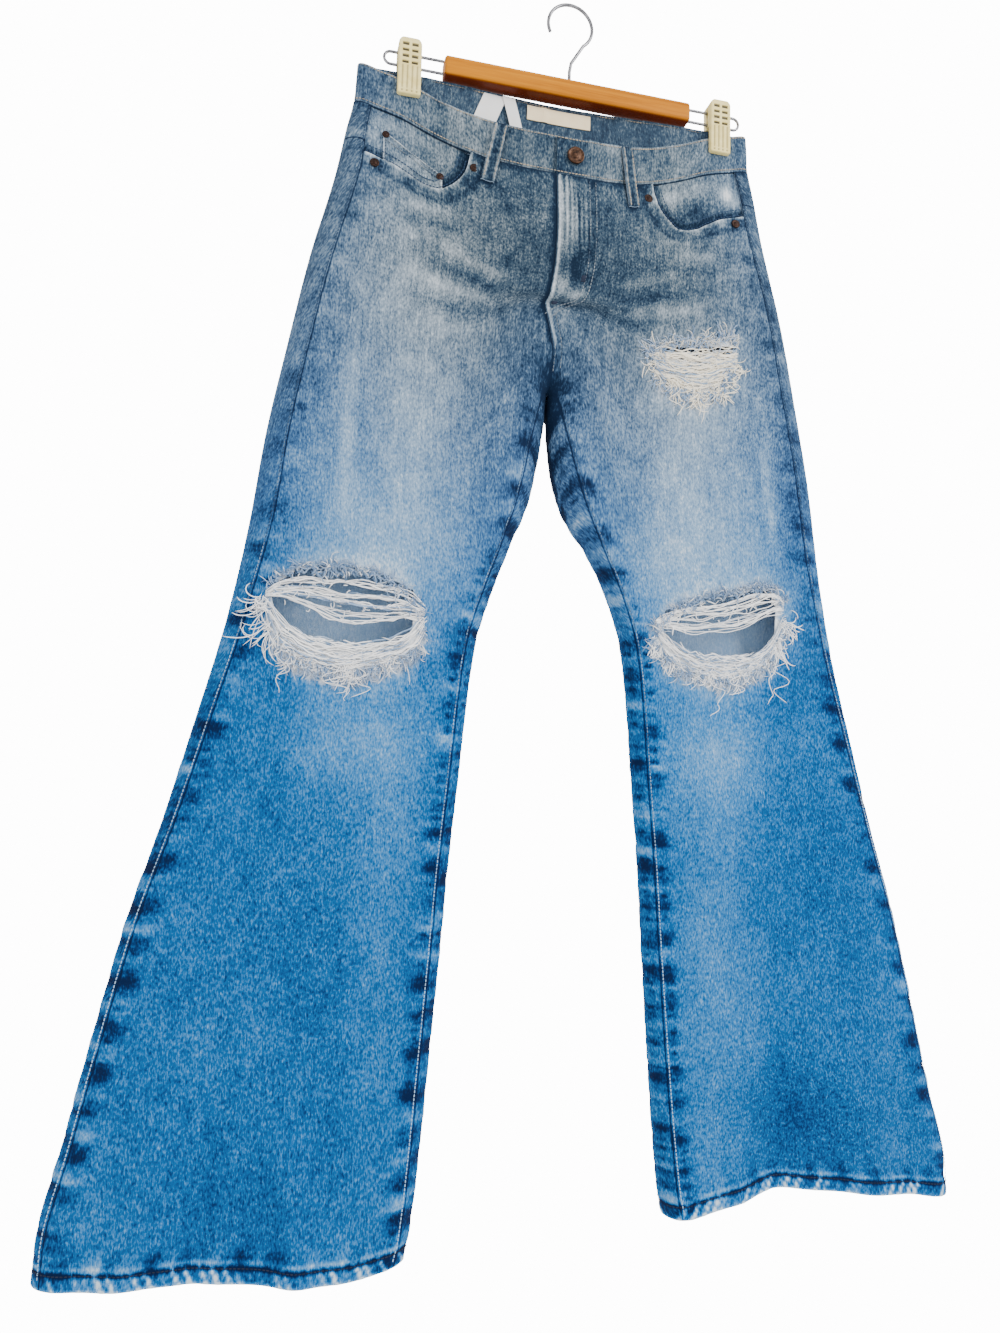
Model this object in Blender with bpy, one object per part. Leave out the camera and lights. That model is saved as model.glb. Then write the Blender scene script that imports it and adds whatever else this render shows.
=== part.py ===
"""Bootcut jeans hung flat from a clip hanger, as the pieces that are cut and sewn.

Metres. X runs to the viewer's right, Y into the wall, Z up, and the origin is where the
hook rests on its rod. The garment is first laid out straight, from the middle of its
waist, with x counted outwards on each half. hang() then gives it the droop, sag and
folds of cloth held by two clips.
"""
import math

import bmesh
import bpy
import numpy as np
from mathutils import Vector

WALL = 0.0012            # denim, with its turned edges
BAND_WALL = 0.0024       # waistband, two layers of denim
SEAM_GAP = 0.0003        # between pieces that are sewn together
HALF_GAP = SEAM_GAP / 2
TAPE_WALL = 0.0008       # label tape
LOOP_WALL = 0.0016       # belt loop, folded in three
FLY_SHIELD_FOOT = -0.236
FACET_CLEARANCE = 0.0005 # the most that one grid's flat facets stray from another's
GRADIENT_STEP = 0.0002

BAND_TOP = -0.013        # below the level of the waist's corners
BAND_HEIGHT = 0.037
BAND_SEAM = BAND_TOP - BAND_HEIGHT
FLY_EDGE = -0.013        # free edge of the fly, on the wearer's right of the middle
BAND_UNDERLAP = 0.030    # how far the under end of the waistband goes past that edge
TUCK_RUN = 0.020         # it comes level with the upper end within this length
CROTCH = -0.305
HEM = -1.02
CROTCH_ROUND = 0.022     # how far from its edge a layer starts to curve round an inner fold
SADDLE_DROP = 0.025      # the crotch seam runs down and back by this much from its middle
SADDLE_REACH = (0.02, 0.09)
SAG_SPAN = 0.130         # the front hangs forward between the clips, within this half-width

WAIST_OFFSET = -0.0075   # middle of the waist from the middle of the hanger
WAIST_DROP = 0.0855      # the waist's corners below the rod

BAR_LENGTH = 0.239
BAR_HEIGHT = 0.0195
BAR_DEPTH = 0.018
BAR_TOP = 0.0075
CLIP_PLACE = 0.1515
CLIP_WIDTH = 0.021
CLIP_TOP = 0.016
CLIP_FOOT = -0.038
CLIP_THICK = 0.0045
RAIL_RADIUS = 0.0013
RAIL_LEVELS = (0.0050, -0.0070)
HOOK_RADIUS = 0.0216
HOOK_WIRE = 0.0016

RIVET_RADIUS = 0.0042
RIVET_THICK = 0.0012
MOUTH_RIVET_SEAT = 0.0013   # above the curved cloth under its middle, so that its rim clears it
SIDE_RIVET_SEAT = 0.0009
BUTTON_RADIUS = 0.0080

FRONT, BACK = -1, 1
RIGHT, LEFT = -1, 1      # the wearer's; the wearer's right is the viewer's left


class Curve:
    """A smooth curve through short rows of (place, value), level beyond both ends."""

    def __init__(self, *rows):
        self.place, self.value = np.array(sorted(rows), float).T
        run = np.diff(self.place)
        rise = np.diff(self.value) / run
        slope = np.zeros(len(self.place))
        same_way = rise[:-1] * rise[1:] > 0
        total = np.where(same_way, rise[:-1] + rise[1:], 1.0)
        slope[1:-1] = np.where(same_way, 2 * rise[:-1] * rise[1:] / total, 0.0)
        self.slope = slope

    def __call__(self, at):
        at = np.clip(at, self.place[0], self.place[-1])
        i = np.clip(np.searchsorted(self.place, at) - 1, 0, len(self.place) - 2)
        run = self.place[i + 1] - self.place[i]
        t = (at - self.place[i]) / run
        near = (1 + 2 * t) * (1 - t) ** 2 * self.value[i] + t * (1 - t) ** 2 * run * self.slope[i]
        far = t * t * (3 - 2 * t) * self.value[i + 1] - t * t * (1 - t) * run * self.slope[i + 1]
        return near + far


def ease(start, end, at):
    """From 0 at start to 1 at end, smoothly."""
    t = np.clip((at - start) / (end - start), 0.0, 1.0)
    return t * t * (3 - 2 * t)


# Outline, by height: half the whole width, and from the middle to each leg's inner edge.
OUTER = Curve((0.0, .190), (-.04, .191), (-.08, .198), (-.12, .205), (-.20, .224), (-.28, .239),
              (-.36, .253), (-.44, .263), (-.52, .277), (-.60, .2965), (-.68, .317), (-.76, .340),
              (-.84, .358), (-.92, .3745), (-1.0, .390), (HEM - .02, .390))
INNER = Curve((CROTCH, .0003), (-.335, .0025), (-.36, .006), (-.40, .017), (-.44, .036), (-.48, .053),
              (-.52, .0655), (-.56, .0715), (-.64, .0785), (-.72, .0855), (-.80, .091), (-.88, .097),
              (-.96, .1035), (-1.0, .108), (HEM - .01, .114))
# Half the thickness of the flattened tube, and how wide its outer fold is.
DEPTH = Curve((BAND_TOP, .0040), (-.046, .0040), (-.08, .0085), (-.12, .0135), (-.17, .0175), (-.25, .021),
              (-.40, .020), (-.51, .0165), (-.70, .0160), (-.90, .019), (HEM, .022))
OUTER_ROUND = Curve((BAND_TOP, .008), (BAND_SEAM, .010), (-.10, .018), (-.20, .026), (-.50, .020),
                    (-.70, .018), (HEM, .026))
# The side seams lie on the front, this far inside each fold.
OUTSEAM_IN = Curve((BAND_SEAM, .016), (-.12, .020), (-.40, .020), (-.51, .015), (-.80, .009), (HEM, .008))
INSEAM_IN = Curve((CROTCH, .0006), (-.318, .005), (-.335, .008), (-.37, .0105), (HEM, .0105))
YOKE_SIDE = -.088
YOKE_DIP = .034          # the yoke's point at the middle of the back
YOKE_FADE = (-.27, -.12)

# What hanging does, by place from the middle or by height.
DROOP = Curve((0, -.057), (.03, -.054), (.06, -.046), (.09, -.034), (.12, -.021), (.15, -.009), (.17, -.004), (.19, 0))
DROOP_FADE = (-.27, BAND_SEAM)
SAG = Curve((BAND_SEAM, .032), (-.10, .030), (-.17, .019), (-.24, .008), (-.30, 0))
BACK_SAG = Curve((BAND_SEAM, .006), (-.12, .004), (-.22, 0))
SADDLE = Curve((-.20, 0), (-.26, 1), (-.37, 1), (-.46, 0))
LEAN = Curve((-.15, 0), (-.28, -.009), (-.34, -.009), (-.50, 0))
HEM_FADE = (-.86, HEM)
# Hem's height across each leg, from its outer fold (0) to its inner fold (1).
HEM_WAVE = {
    RIGHT: Curve((0, -.001), (.2, -.002), (.5, -.006), (.8, -.014), (1, -.006)),
    LEFT: Curve((0, .010), (.2, .016), (.45, .024), (.65, .028), (.85, .016), (1, .008)),
}
# Largest folds: side, layer, upper end (x, z), lower end (x, z), half-width, height.
FOLDS = (
    (RIGHT, FRONT, .210, -.90, .200, -1.03, .016, .007),
    (RIGHT, FRONT, .150, -.58, .190, -.86, .022, .004),
    (RIGHT, FRONT, .300, -.88, .330, -1.03, .020, .006),
    (RIGHT, FRONT, .020, -.20, .060, -.33, .014, .004),
    (RIGHT, FRONT, .170, -.14, .215, -.30, .020, -.003),
    (RIGHT, BACK, .215, -.80, .235, -1.03, .024, .007),
    (RIGHT, BACK, .110, -.36, .190, -.56, .020, .005),
    (RIGHT, BACK, .150, -.10, .185, -.26, .020, -.003),
    (LEFT, FRONT, .200, -.78, .215, -1.03, .018, -.007),
    (LEFT, FRONT, .275, -.84, .300, -1.03, .022, .007),
    (LEFT, FRONT, .130, -.58, .160, -.82, .020, .004),
    (LEFT, FRONT, .012, -.26, .075, -.37, .012, .005),
    (LEFT, FRONT, .160, -.14, .210, -.32, .020, -.003),
    (LEFT, BACK, .205, -.82, .240, -1.03, .026, .006),
    (LEFT, BACK, .115, -.38, .180, -.58, .020, .005),
    (LEFT, BACK, .130, -.10, .180, -.28, .020, -.003),
)


def fullness(x, z):
    """Share of the full depth that a layer keeps near a fold's edge or the crotch."""
    edge = np.where(z > CROTCH, np.hypot(x, z - CROTCH), np.abs(x) - INNER(z))
    inner = np.clip(1 - edge / CROTCH_ROUND, 0, None)
    outer = np.clip(1 - (OUTER(z) - x) / OUTER_ROUND(z), 0, None)
    return inner ** 2 + outer ** 2


def surface(x, z, layer):
    """Points of the laid-out garment's outer face."""
    x, z, layer = np.broadcast_arrays(np.asarray(x, float), np.asarray(z, float), layer)
    y = layer * DEPTH(z) * np.sqrt(np.clip(1 - fullness(x, z), 0, None))
    return np.stack([x, y, z], axis=-1)


def normals(points):
    """Directions out of the laid-out garment at points on its face."""
    def level(p):
        return (p[..., 1] / DEPTH(p[..., 2])) ** 2 + fullness(p[..., 0], p[..., 2])
    steps = np.eye(3) * GRADIENT_STEP
    slope = np.stack([level(points + step) - level(points - step) for step in steps], axis=-1)
    return slope / np.linalg.norm(slope, axis=-1, keepdims=True)


def hang(points, side, layer):
    """Laid-out points of one half and one layer, as they hang, in the part's frame."""
    x, y, z = np.moveaxis(np.asarray(points, float), -1, 0)
    depth = np.clip(y / DEPTH(z), -1, 1)
    front = np.where(np.asarray(layer) < 0, 1.0, 0.0)
    middle = np.cos(math.pi / 2 * np.clip(x / SAG_SPAN, -1, 1)) ** 2
    across = np.clip((OUTER(z) - x) / (OUTER(z) - np.maximum(INNER(z), 0)), 0, 1)
    low_x, low_z = x, z
    y = y - SAG(z) * middle * front + BACK_SAG(z) * middle * (1 - front)
    for fold_side, face, x0, z0, x1, z1, width, height in FOLDS:
        if fold_side == side:
            run = (x1 - x0) ** 2 + (z1 - z0) ** 2
            along = ((low_x - x0) * (x1 - x0) + (low_z - z0) * (z1 - z0)) / run
            near = np.clip(along, 0, 1)
            away = np.hypot(low_x - x0 - near * (x1 - x0), low_z - z0 - near * (z1 - z0))
            ends = np.minimum(ease(0, .35, along), 1 if z1 < HEM else 1 - ease(.65, 1, along))
            y = y + face * height * ends * np.exp(-(away / width) ** 2) * np.clip(face * depth, 0, 1)
    z = z + DROOP(np.abs(x)) * ease(*DROOP_FADE, low_z) * front
    z = z - SADDLE_DROP * SADDLE(low_z) * (1 - ease(*SADDLE_REACH, np.abs(x))) * depth
    z = z + HEM_WAVE[side](across) * (1 - ease(HEM_FADE[1], HEM_FADE[0], low_z))
    x = side * x + LEAN(low_z) * (1 - (x / OUTER(low_z)) ** 2) + WAIST_OFFSET
    return np.stack([x, y, z - WAIST_DROP], axis=-1)


def material(name, colour, roughness=0.85, metallic=0.0):
    made = bpy.data.materials.new(name)
    made.use_nodes = True
    shader = made.node_tree.nodes["Principled BSDF"]
    shader.inputs["Base Color"].default_value = (*colour, 1)
    shader.inputs["Roughness"].default_value = roughness
    shader.inputs["Metallic"].default_value = metallic
    return made


def piece(name, bm, finish, smooth=True):
    """An object from a bmesh, its faces turned outwards."""
    bmesh.ops.recalc_face_normals(bm, faces=bm.faces[:])
    mesh = bpy.data.meshes.new(name)
    bm.to_mesh(mesh)
    bm.free()
    mesh.materials.append(finish)
    if smooth:
        mesh.shade_smooth()
        mesh.set_sharp_from_angle(angle=math.radians(40))
    made = bpy.data.objects.new(name, mesh)
    bpy.context.collection.objects.link(made)
    return made


def cut(target, cutter):
    """Takes a cutter's form out of a piece."""
    cutter.hide_render = True
    cutter.display_type = "WIRE"
    boolean = target.modifiers.new("Cut", "BOOLEAN")
    boolean.operation = "DIFFERENCE"
    boolean.solver = "EXACT"
    boolean.object = cutter


def wall(name, grid, out, inside, side, finish, keep=None):
    """A cloth wall on a grid of laid-out points, from inside to out along its normals."""
    rows, columns = grid.shape[:2]
    facing = normals(grid)
    layer = np.where(grid[..., 1] < 0, FRONT, BACK)
    levels = [hang(grid + facing * np.asarray(d)[..., None], side, layer) for d in (out, inside)]
    bm = bmesh.new()
    corners = {}

    def corner(level, i, j):
        if (level, i, j) not in corners:
            corners[level, i, j] = bm.verts.new(levels[level][i, j])
        return corners[level, i, j]

    cells = {(i, j) for i in range(rows - 1) for j in range(columns - 1) if keep is None or keep(i, j)}
    for i, j in sorted(cells):
        ring = [(i, j), (i + 1, j), (i + 1, j + 1), (i, j + 1)]
        bm.faces.new([corner(0, *c) for c in ring])
        bm.faces.new([corner(1, *c) for c in reversed(ring)])
        neighbours = [(i, j - 1), (i + 1, j), (i, j + 1), (i - 1, j)]
        for k, neighbour in enumerate(neighbours):
            if neighbour not in cells:
                a, b = ring[k], ring[(k + 1) % 4]
                bm.faces.new([corner(0, *b), corner(0, *a), corner(1, *a), corner(1, *b)])
    return piece(name, bm, finish)


def resample(path, count, bend_weight=0.02):
    """Points along a dense path, closer together where it bends."""
    step = np.diff(path, axis=0)
    length = np.linalg.norm(step, axis=1)
    direction = step / length[:, None]
    turn = np.arccos(np.clip((direction[1:] * direction[:-1]).sum(axis=1), -1, 1))
    spread = length.copy()
    spread[1:] += bend_weight * turn
    place = np.concatenate([[0], np.cumsum(spread)])
    wanted = np.linspace(0, place[-1], count)
    return np.stack([np.interp(wanted, place, path[:, k]) for k in range(3)], axis=-1)


def spaced(start, end, count=70):
    """Places from start to end, close together near both ends."""
    return start + (end - start) * (1 - np.cos(np.linspace(0, math.pi, count))) / 2


def yoke_drop(x, z, layer):
    """How far the yoke seam's dip pulls a row of the back down."""
    dip = YOKE_DIP * (1 - np.clip(x / OUTER(z), 0, 1))
    return -dip * (layer > 0)


def front_start(z, side):
    """Where the front panel starts: the fly's edge, the middle seam or the inseam."""
    if z > CROTCH:
        fly = FLY_EDGE * (1 - ease(-.235, -.29, z))
        return side * float(fly) + HALF_GAP
    return float(INNER(z) + INSEAM_IN(z)) + HALF_GAP


def outseam(z):
    return float(OUTER(z) - OUTSEAM_IN(z))


def front_row(z, side, count):
    x = spaced(front_start(z, side), outseam(z) - HALF_GAP, 90)
    return resample(surface(x, z, FRONT), count)


def back_row(z, count, dip=0.0):
    """From the outseam on the front, round the outer fold and over the back to its end."""
    strip = surface(spaced(outseam(z) + HALF_GAP, float(OUTER(z)), 40), z, FRONT)
    end = HALF_GAP if z > CROTCH else float(INNER(z))
    x = spaced(float(OUTER(z)), end, 140)[1:]
    back = surface(x, z + dip * yoke_drop(x, z, BACK), BACK)
    parts = [strip, back]
    if z <= CROTCH:
        parts.append(surface(spaced(end, end + float(INSEAM_IN(z)) - HALF_GAP, 30)[1:], z, FRONT))
    return resample(np.concatenate(parts), count)


CROTCH_ROWS = (-.285, -.295, -.301, CROTCH, -.309, -.318, -.335)
LEG_ROWS = (-.37, -.41, -.45, -.49, -.53, -.58, -.64, -.70, -.76, -.82, -.87, -.92, -.96, -.99, HEM)
HIP_ROWS = (-.115, -.145, -.18, -.22, -.255)
YOKE_ROWS = tuple(np.linspace(BAND_SEAM - HALF_GAP, YOKE_SIDE + HALF_GAP, 4))
FRONT_ROWS = YOKE_ROWS + HIP_ROWS + CROTCH_ROWS + LEG_ROWS
BACK_ROWS = (YOKE_SIDE - HALF_GAP,) + HIP_ROWS + CROTCH_ROWS + LEG_ROWS
FRONT_COLUMNS = 12
BACK_COLUMNS = 19

# Pocket mouth on each front, from the waistband to the side seam, laid out.
MOUTH_START, MOUTH_END = .0865, .184
MOUTH = Curve((MOUTH_START, BAND_SEAM + .004), (.090, -.068), (.096, -.083), (.105, -.097), (.117, -.108),
              (.130, -.110), (.145, -.1065), (.160, -.1030), (.172, -.1015), (MOUTH_END, -.1010))
FACING_UNDER = .014      # how far the facing goes on under the front panel
FACING_CORNER = .096     # it is level from here to the fly's side
COIN_TOP = ((.112, -.0885), (.165, -.0715))

# Frayed openings, laid out: side, ends across, upper and lower edge at places between them.
RIPS = {
    "knee_threads_right": dict(
        side=RIGHT, ends=(.113, .248), strands=8, side_bands=(.10, .09), bands=(.22, .24),
        top=Curve((0, -.522), (.06, -.500), (.2, -.480), (.45, -.470), (.75, -.470), (.92, -.482), (1, -.500)),
        foot=Curve((0, -.528), (.06, -.544), (.25, -.558), (.5, -.566), (.75, -.560), (.92, -.545), (1, -.515))),
    "knee_threads_left": dict(
        side=LEFT, ends=(.090, .222), strands=8, side_bands=(.10, .12), bands=(.24, .22),
        top=Curve((0, -.512), (.08, -.492), (.3, -.478), (.55, -.468), (.85, -.459), (1, -.470)),
        foot=Curve((0, -.520), (.08, -.536), (.25, -.549), (.5, -.556), (.75, -.546), (.92, -.530), (1, -.508))),
    "thigh_threads_left": dict(
        side=LEFT, ends=(.088, .174), strands=3, side_bands=(.14, .16), bands=(.10, .46),
        top=Curve((0, -.254), (.1, -.246), (.5, -.238), (.9, -.228), (1, -.236)),
        foot=Curve((0, -.262), (.15, -.284), (.5, -.296), (.8, -.288), (1, -.262))),
}
STRAND_SHARE = .22       # of each gap and its strand, the part that is strand
RIP_COLUMNS = 12


def prism(name, outline, side):
    """A tall cutter through the front, from a laid-out outline of (x, z) points."""
    flat = np.array(outline)
    placed = hang(surface(flat[:, 0], flat[:, 1], FRONT), side, FRONT)
    bm = bmesh.new()
    rim = [bm.verts.new((x, -0.12, z)) for x, _, z in placed]
    face = bm.faces.new(rim)
    grown = bmesh.ops.extrude_face_region(bm, geom=[face])["geom"]
    moved = [v for v in grown if isinstance(v, bmesh.types.BMVert)]
    bmesh.ops.translate(bm, verts=moved, vec=(0, 0.20, 0))
    return piece(name, bm, FINISH["denim"], smooth=False)


def rip_grid(rip, grow=0.0):
    """Columns, and each column's upper and lower edge, with the opening grown all round."""
    places = np.linspace(0, 1, RIP_COLUMNS + 1)
    start, end = rip["ends"]
    x = start + (end - start) * places + grow * np.where(places == 0, -1, np.where(places == 1, 1, 0))
    return x, rip["top"](places) + grow, rip["foot"](places) - grow


def front_panels():
    panels = {}
    for side, name in ((RIGHT, "front_right"), (LEFT, "front_left")):
        grid = np.array([front_row(z, side, FRONT_COLUMNS) for z in FRONT_ROWS])
        panel = wall(name, grid, 0, -WALL, side, FINISH["denim"])
        x = np.linspace(MOUTH_START, MOUTH_END, 18)
        corner = [(.23, float(MOUTH(MOUTH_END))), (.23, BAND_TOP), (MOUTH_START, BAND_TOP)]
        cut(panel, prism(f"mouth_{name}", list(zip(x, MOUTH(x))) + corner, side))
        panels[side] = panel
    for name, rip in RIPS.items():
        x, top, foot = rip_grid(rip, SEAM_GAP)
        outline = list(zip(x, top)) + list(zip(x[::-1], foot[::-1]))
        cut(panels[rip["side"]], prism(f"hole_{name}", outline, rip["side"]))


def frayed_sheets():
    """What is left of the weft across each rip: a border, and strands from side to side."""
    for name, rip in RIPS.items():
        x, top, foot = rip_grid(rip)
        upper, lower = rip["bands"]
        levels = [0, upper / 2, upper]
        pitch = (1 - upper - lower) / (rip["strands"] + 1)
        for number in range(rip["strands"]):
            middle = upper + pitch * (number + 1)
            levels += [middle - pitch * STRAND_SHARE / 2, middle + pitch * STRAND_SHARE / 2]
        levels += [1 - lower, 1 - lower / 2, 1]
        levels = np.array(levels)[:, None]
        grid = surface(x[None, :] + 0 * levels, top + (foot - top) * levels, FRONT)
        places = np.linspace(0, 1, RIP_COLUMNS + 1)
        first = 1 + int(np.argmin(np.abs(places - rip["side_bands"][0])))
        last = int(np.argmin(np.abs(places - 1 + rip["side_bands"][1]))) - 1
        gaps = range(2, len(levels) - 3, 2)

        def keep(i, j, gaps=gaps, first=first, last=last):
            return not (i in gaps and first <= j <= last)

        wall(name, grid, -.0001, -WALL + .0001, rip["side"], FINISH["weft"], keep)


def back_panels():
    for side, name in ((RIGHT, "right"), (LEFT, "left")):
        rows = [back_row(z, BACK_COLUMNS, float(ease(*YOKE_FADE, z))) for z in BACK_ROWS]
        wall(f"back_{name}", np.array(rows), 0, -WALL, side, FINISH["denim"])
        dips = np.linspace(0, 1, len(YOKE_ROWS))
        rows = [back_row(z, BACK_COLUMNS, dip) for z, dip in zip(YOKE_ROWS, dips)]
        wall(f"yoke_{name}", np.array(rows), 0, -WALL, side, FINISH["denim"])


def patch(name, side, x, z, out, inside, finish, layer=FRONT):
    """A wall over part of one layer; x and z are grids of laid-out places."""
    x, z = np.broadcast_arrays(np.asarray(x, float), np.asarray(z, float))
    return wall(name, surface(x, z, layer), out, inside, side, finish)


def lying_on(thickness):
    """Outer and inner offset of what lies on a panel, clear of its flat facets."""
    return SEAM_GAP + FACET_CLEARANCE + thickness, SEAM_GAP + FACET_CLEARANCE


def lying_under(thickness, cover=WALL):
    """Outer and inner offset of what lies just under a panel."""
    depth = cover + SEAM_GAP + FACET_CLEARANCE
    return -depth, -depth - thickness


def front_pockets():
    for side, name in ((RIGHT, "right"), (LEFT, "left")):
        x = np.linspace(.078, .186, 9)[None, :]
        foot = MOUTH(np.maximum(x, FACING_CORNER)) - FACING_UNDER
        top = BAND_SEAM - SEAM_GAP
        levels = np.linspace(0, 1, 5)[:, None]
        patch(f"pocket_facing_{name}", side, x, top + (foot - top) * levels,
              *lying_under(WALL), FINISH["denim"])
    (x0, z0), (x1, z1) = COIN_TOP
    x = np.linspace(x0, x1, 6)[None, :]
    top = z0 + (z1 - z0) * (x - x0) / (x1 - x0)
    foot = MOUTH(x) + SEAM_GAP + FACET_CLEARANCE
    levels = np.linspace(0, 1, 4)[:, None]
    patch("coin_pocket", RIGHT, x, top + (foot - top) * levels, -WALL + .0009, -WALL, FINISH["denim"])


def back_pockets():
    for side, name in ((RIGHT, "right"), (LEFT, "left")):
        across = np.linspace(-1, 1, 7)[None, :]
        down = np.linspace(0, 1, 6)[:, None]
        x = .104 + across * (.070 - .006 * down)
        point = .020 * (1 - np.abs(across))
        z = -.150 - down * (.125 + point)
        patch(f"back_pocket_{name}", side, x, z, *lying_on(WALL), FINISH["denim"], BACK)


def fly_shield():
    z = np.array(YOKE_ROWS + HIP_ROWS[:-1] + (FLY_SHIELD_FOOT,))[:, None]
    x = np.linspace(-.030, .020, 4)[None, :]
    patch("fly_shield", LEFT, x, z, *lying_under(WALL), FINISH["denim"])


def waistband():
    """One strip, from its upper end over the fly, round the back, to its under end."""
    levels = np.linspace(BAND_TOP, BAND_SEAM + HALF_GAP, 4)
    tuck = BAND_WALL + SEAM_GAP + FACET_CLEARANCE
    for side, name in ((LEFT, "waistband_left"), (RIGHT, "waistband_right")):
        rows = []
        for z in levels:
            row = np.concatenate([front_row(z, side, FRONT_COLUMNS)[:-1], back_row(z, BACK_COLUMNS)])
            if side == RIGHT:
                row = np.concatenate([surface(np.linspace(-BAND_UNDERLAP - FLY_EDGE, 0, 3), z, FRONT), row])
                out_again = 1 - ease(-FLY_EDGE, -FLY_EDGE + TUCK_RUN, row[:, 0])
                row[:, 1] += tuck * out_again * (row[:, 1] < 0)
            rows.append(row)
        wall(name, np.array(rows), 0, -BAND_WALL, side, FINISH["denim"])


def belt_loops():
    down = np.linspace(0, 1, 8)[:, None]
    lift = SEAM_GAP + .0022 * np.sin(math.pi * down) ** .6
    across = np.array([[-.0058, .0058]])
    places = (("belt_loop_front_right", RIGHT, FRONT, .062, .011), ("belt_loop_front_left", LEFT, FRONT, .057, .008),
              ("belt_loop_back_right", RIGHT, BACK, .108, 0), ("belt_loop_back_middle", LEFT, BACK, 0, 0),
              ("belt_loop_back_left", LEFT, BACK, .108, 0))
    for name, side, layer, x, lean in places:
        z = BAND_TOP - .002 - down * .056
        patch(name, side, x + across + lean * down, z, lift + LOOP_WALL, lift, FINISH["denim"], layer)


def labels():
    inner = -BAND_WALL - SEAM_GAP
    for name, side, x, z in (("size_label", LEFT, (-.031, .031), (-.017, -.031)),
                             ("care_label_wide", RIGHT, (.056, .078), (-.015, -.047)),
                             ("care_label_narrow", RIGHT, (.039, .051), (-.015, -.047))):
        patch(name, side, np.linspace(*x, 5)[None, :], np.linspace(*z, 4)[:, None],
              inner, inner - TAPE_WALL, FINISH["tape"], BACK)


def disc(name, side, x, z, radius, thickness, out, finish, segments=14):
    """A domed metal disc that stands on the cloth."""
    seat = surface(x, z, FRONT)
    facing = normals(seat)
    base = Vector(hang(seat + facing * out, side, FRONT))
    tip = Vector(hang(seat + facing * (out + thickness), side, FRONT))
    bm = bmesh.new()
    rings = [(1.0, 0.0), (1.0, .55), (.78, .9), (.35, 1.0)]
    turn = Vector((0, 0, 1)).rotation_difference((tip - base).normalized())
    loops = []
    for share, height in rings:
        loop = []
        for k in range(segments):
            angle = 2 * math.pi * k / segments
            spot = Vector((radius * share * math.cos(angle), radius * share * math.sin(angle), thickness * height))
            loop.append(bm.verts.new(base + turn @ spot))
        loops.append(loop)
    bm.faces.new(loops[0])
    bm.faces.new(loops[-1])
    for low, high in zip(loops, loops[1:]):
        for k in range(segments):
            n = (k + 1) % segments
            bm.faces.new([low[k], low[n], high[n], high[k]])
    return piece(name, bm, finish)


def fasteners():
    rivets = ((RIGHT, .0840, -.066, MOUTH_RIVET_SEAT), (RIGHT, .1725, -.1085, SIDE_RIVET_SEAT),
              (LEFT, .0820, -.066, MOUTH_RIVET_SEAT), (LEFT, .1725, -.1085, SIDE_RIVET_SEAT))
    for number, (side, x, z, seat) in enumerate(rivets):
        disc(f"rivet_{number + 1}", side, x, z, RIVET_RADIUS, RIVET_THICK, seat, FINISH["copper"])
    disc("button", LEFT, .0035, BAND_TOP - .018, BUTTON_RADIUS, .0030, .0006, FINISH["brass"], 18)


def box(name, low, high, finish, bevel=0.0, segments=2):
    bm = bmesh.new()
    bmesh.ops.create_cube(bm, size=1)
    for vertex in bm.verts:
        for k in range(3):
            vertex.co[k] = high[k] if vertex.co[k] > 0 else low[k]
    made = piece(name, bm, finish)
    if bevel:
        modifier = made.modifiers.new("Round", "BEVEL")
        modifier.width = bevel
        modifier.segments = segments
        modifier.limit_method = "NONE"
    return made


def tube(name, points, radius, finish, resolution=2):
    curve = bpy.data.curves.new(name, "CURVE")
    curve.dimensions = "3D"
    curve.bevel_depth = radius
    curve.bevel_resolution = resolution
    curve.use_fill_caps = True
    spline = curve.splines.new("POLY")
    spline.points.add(len(points) - 1)
    for point, place in zip(spline.points, points):
        point.co = (*place, 1)
    curve.materials.append(finish)
    made = bpy.data.objects.new(name, curve)
    bpy.context.collection.objects.link(made)
    return made


def arc(centre, radius, start, end, count):
    """Points on an arc in the XZ plane; angles in degrees, from +X towards +Z."""
    return [(centre[0] + radius * math.cos(math.radians(a)), 0, centre[1] + radius * math.sin(math.radians(a)))
            for a in np.linspace(start, end, count)]


def hanger():
    bar_top = BAR_TOP - WAIST_DROP
    half = BAR_LENGTH / 2
    box("hanger_bar", (-half, -BAR_DEPTH / 2, bar_top - BAR_HEIGHT), (half, BAR_DEPTH / 2, bar_top),
        FINISH["wood"], .0022)
    centre = (0, -HOOK_RADIUS + HOOK_WIRE)
    neck = [(0, 0, bar_top + SEAM_GAP), (0, 0, bar_top + .012), (.0015, 0, bar_top + .021)]
    tube("hanger_hook", neck + arc(centre, HOOK_RADIUS, -52, 205, 26), HOOK_WIRE, FINISH["steel"])
    upper, lower = (level - WAIST_DROP for level in RAIL_LEVELS)
    middle, bend = (upper + lower) / 2, (upper - lower) / 2
    for side, name in ((-1, "right"), (1, "left")):
        end = CLIP_PLACE + CLIP_WIDTH / 2 + .006
        turn = [(side * x, 0, z) for x, _, z in arc((end, middle), bend, 90, -90, 9)]
        start = side * (half + SEAM_GAP)
        tube(f"hanger_rail_{name}", [(start, 0, upper)] + turn + [(start, 0, lower)], RAIL_RADIUS, FINISH["steel"])
        for face, layer in ((FRONT, "front"), (BACK, "back")):
            clip_jaw(f"clip_{name}_{layer}", side * CLIP_PLACE, face)


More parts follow.
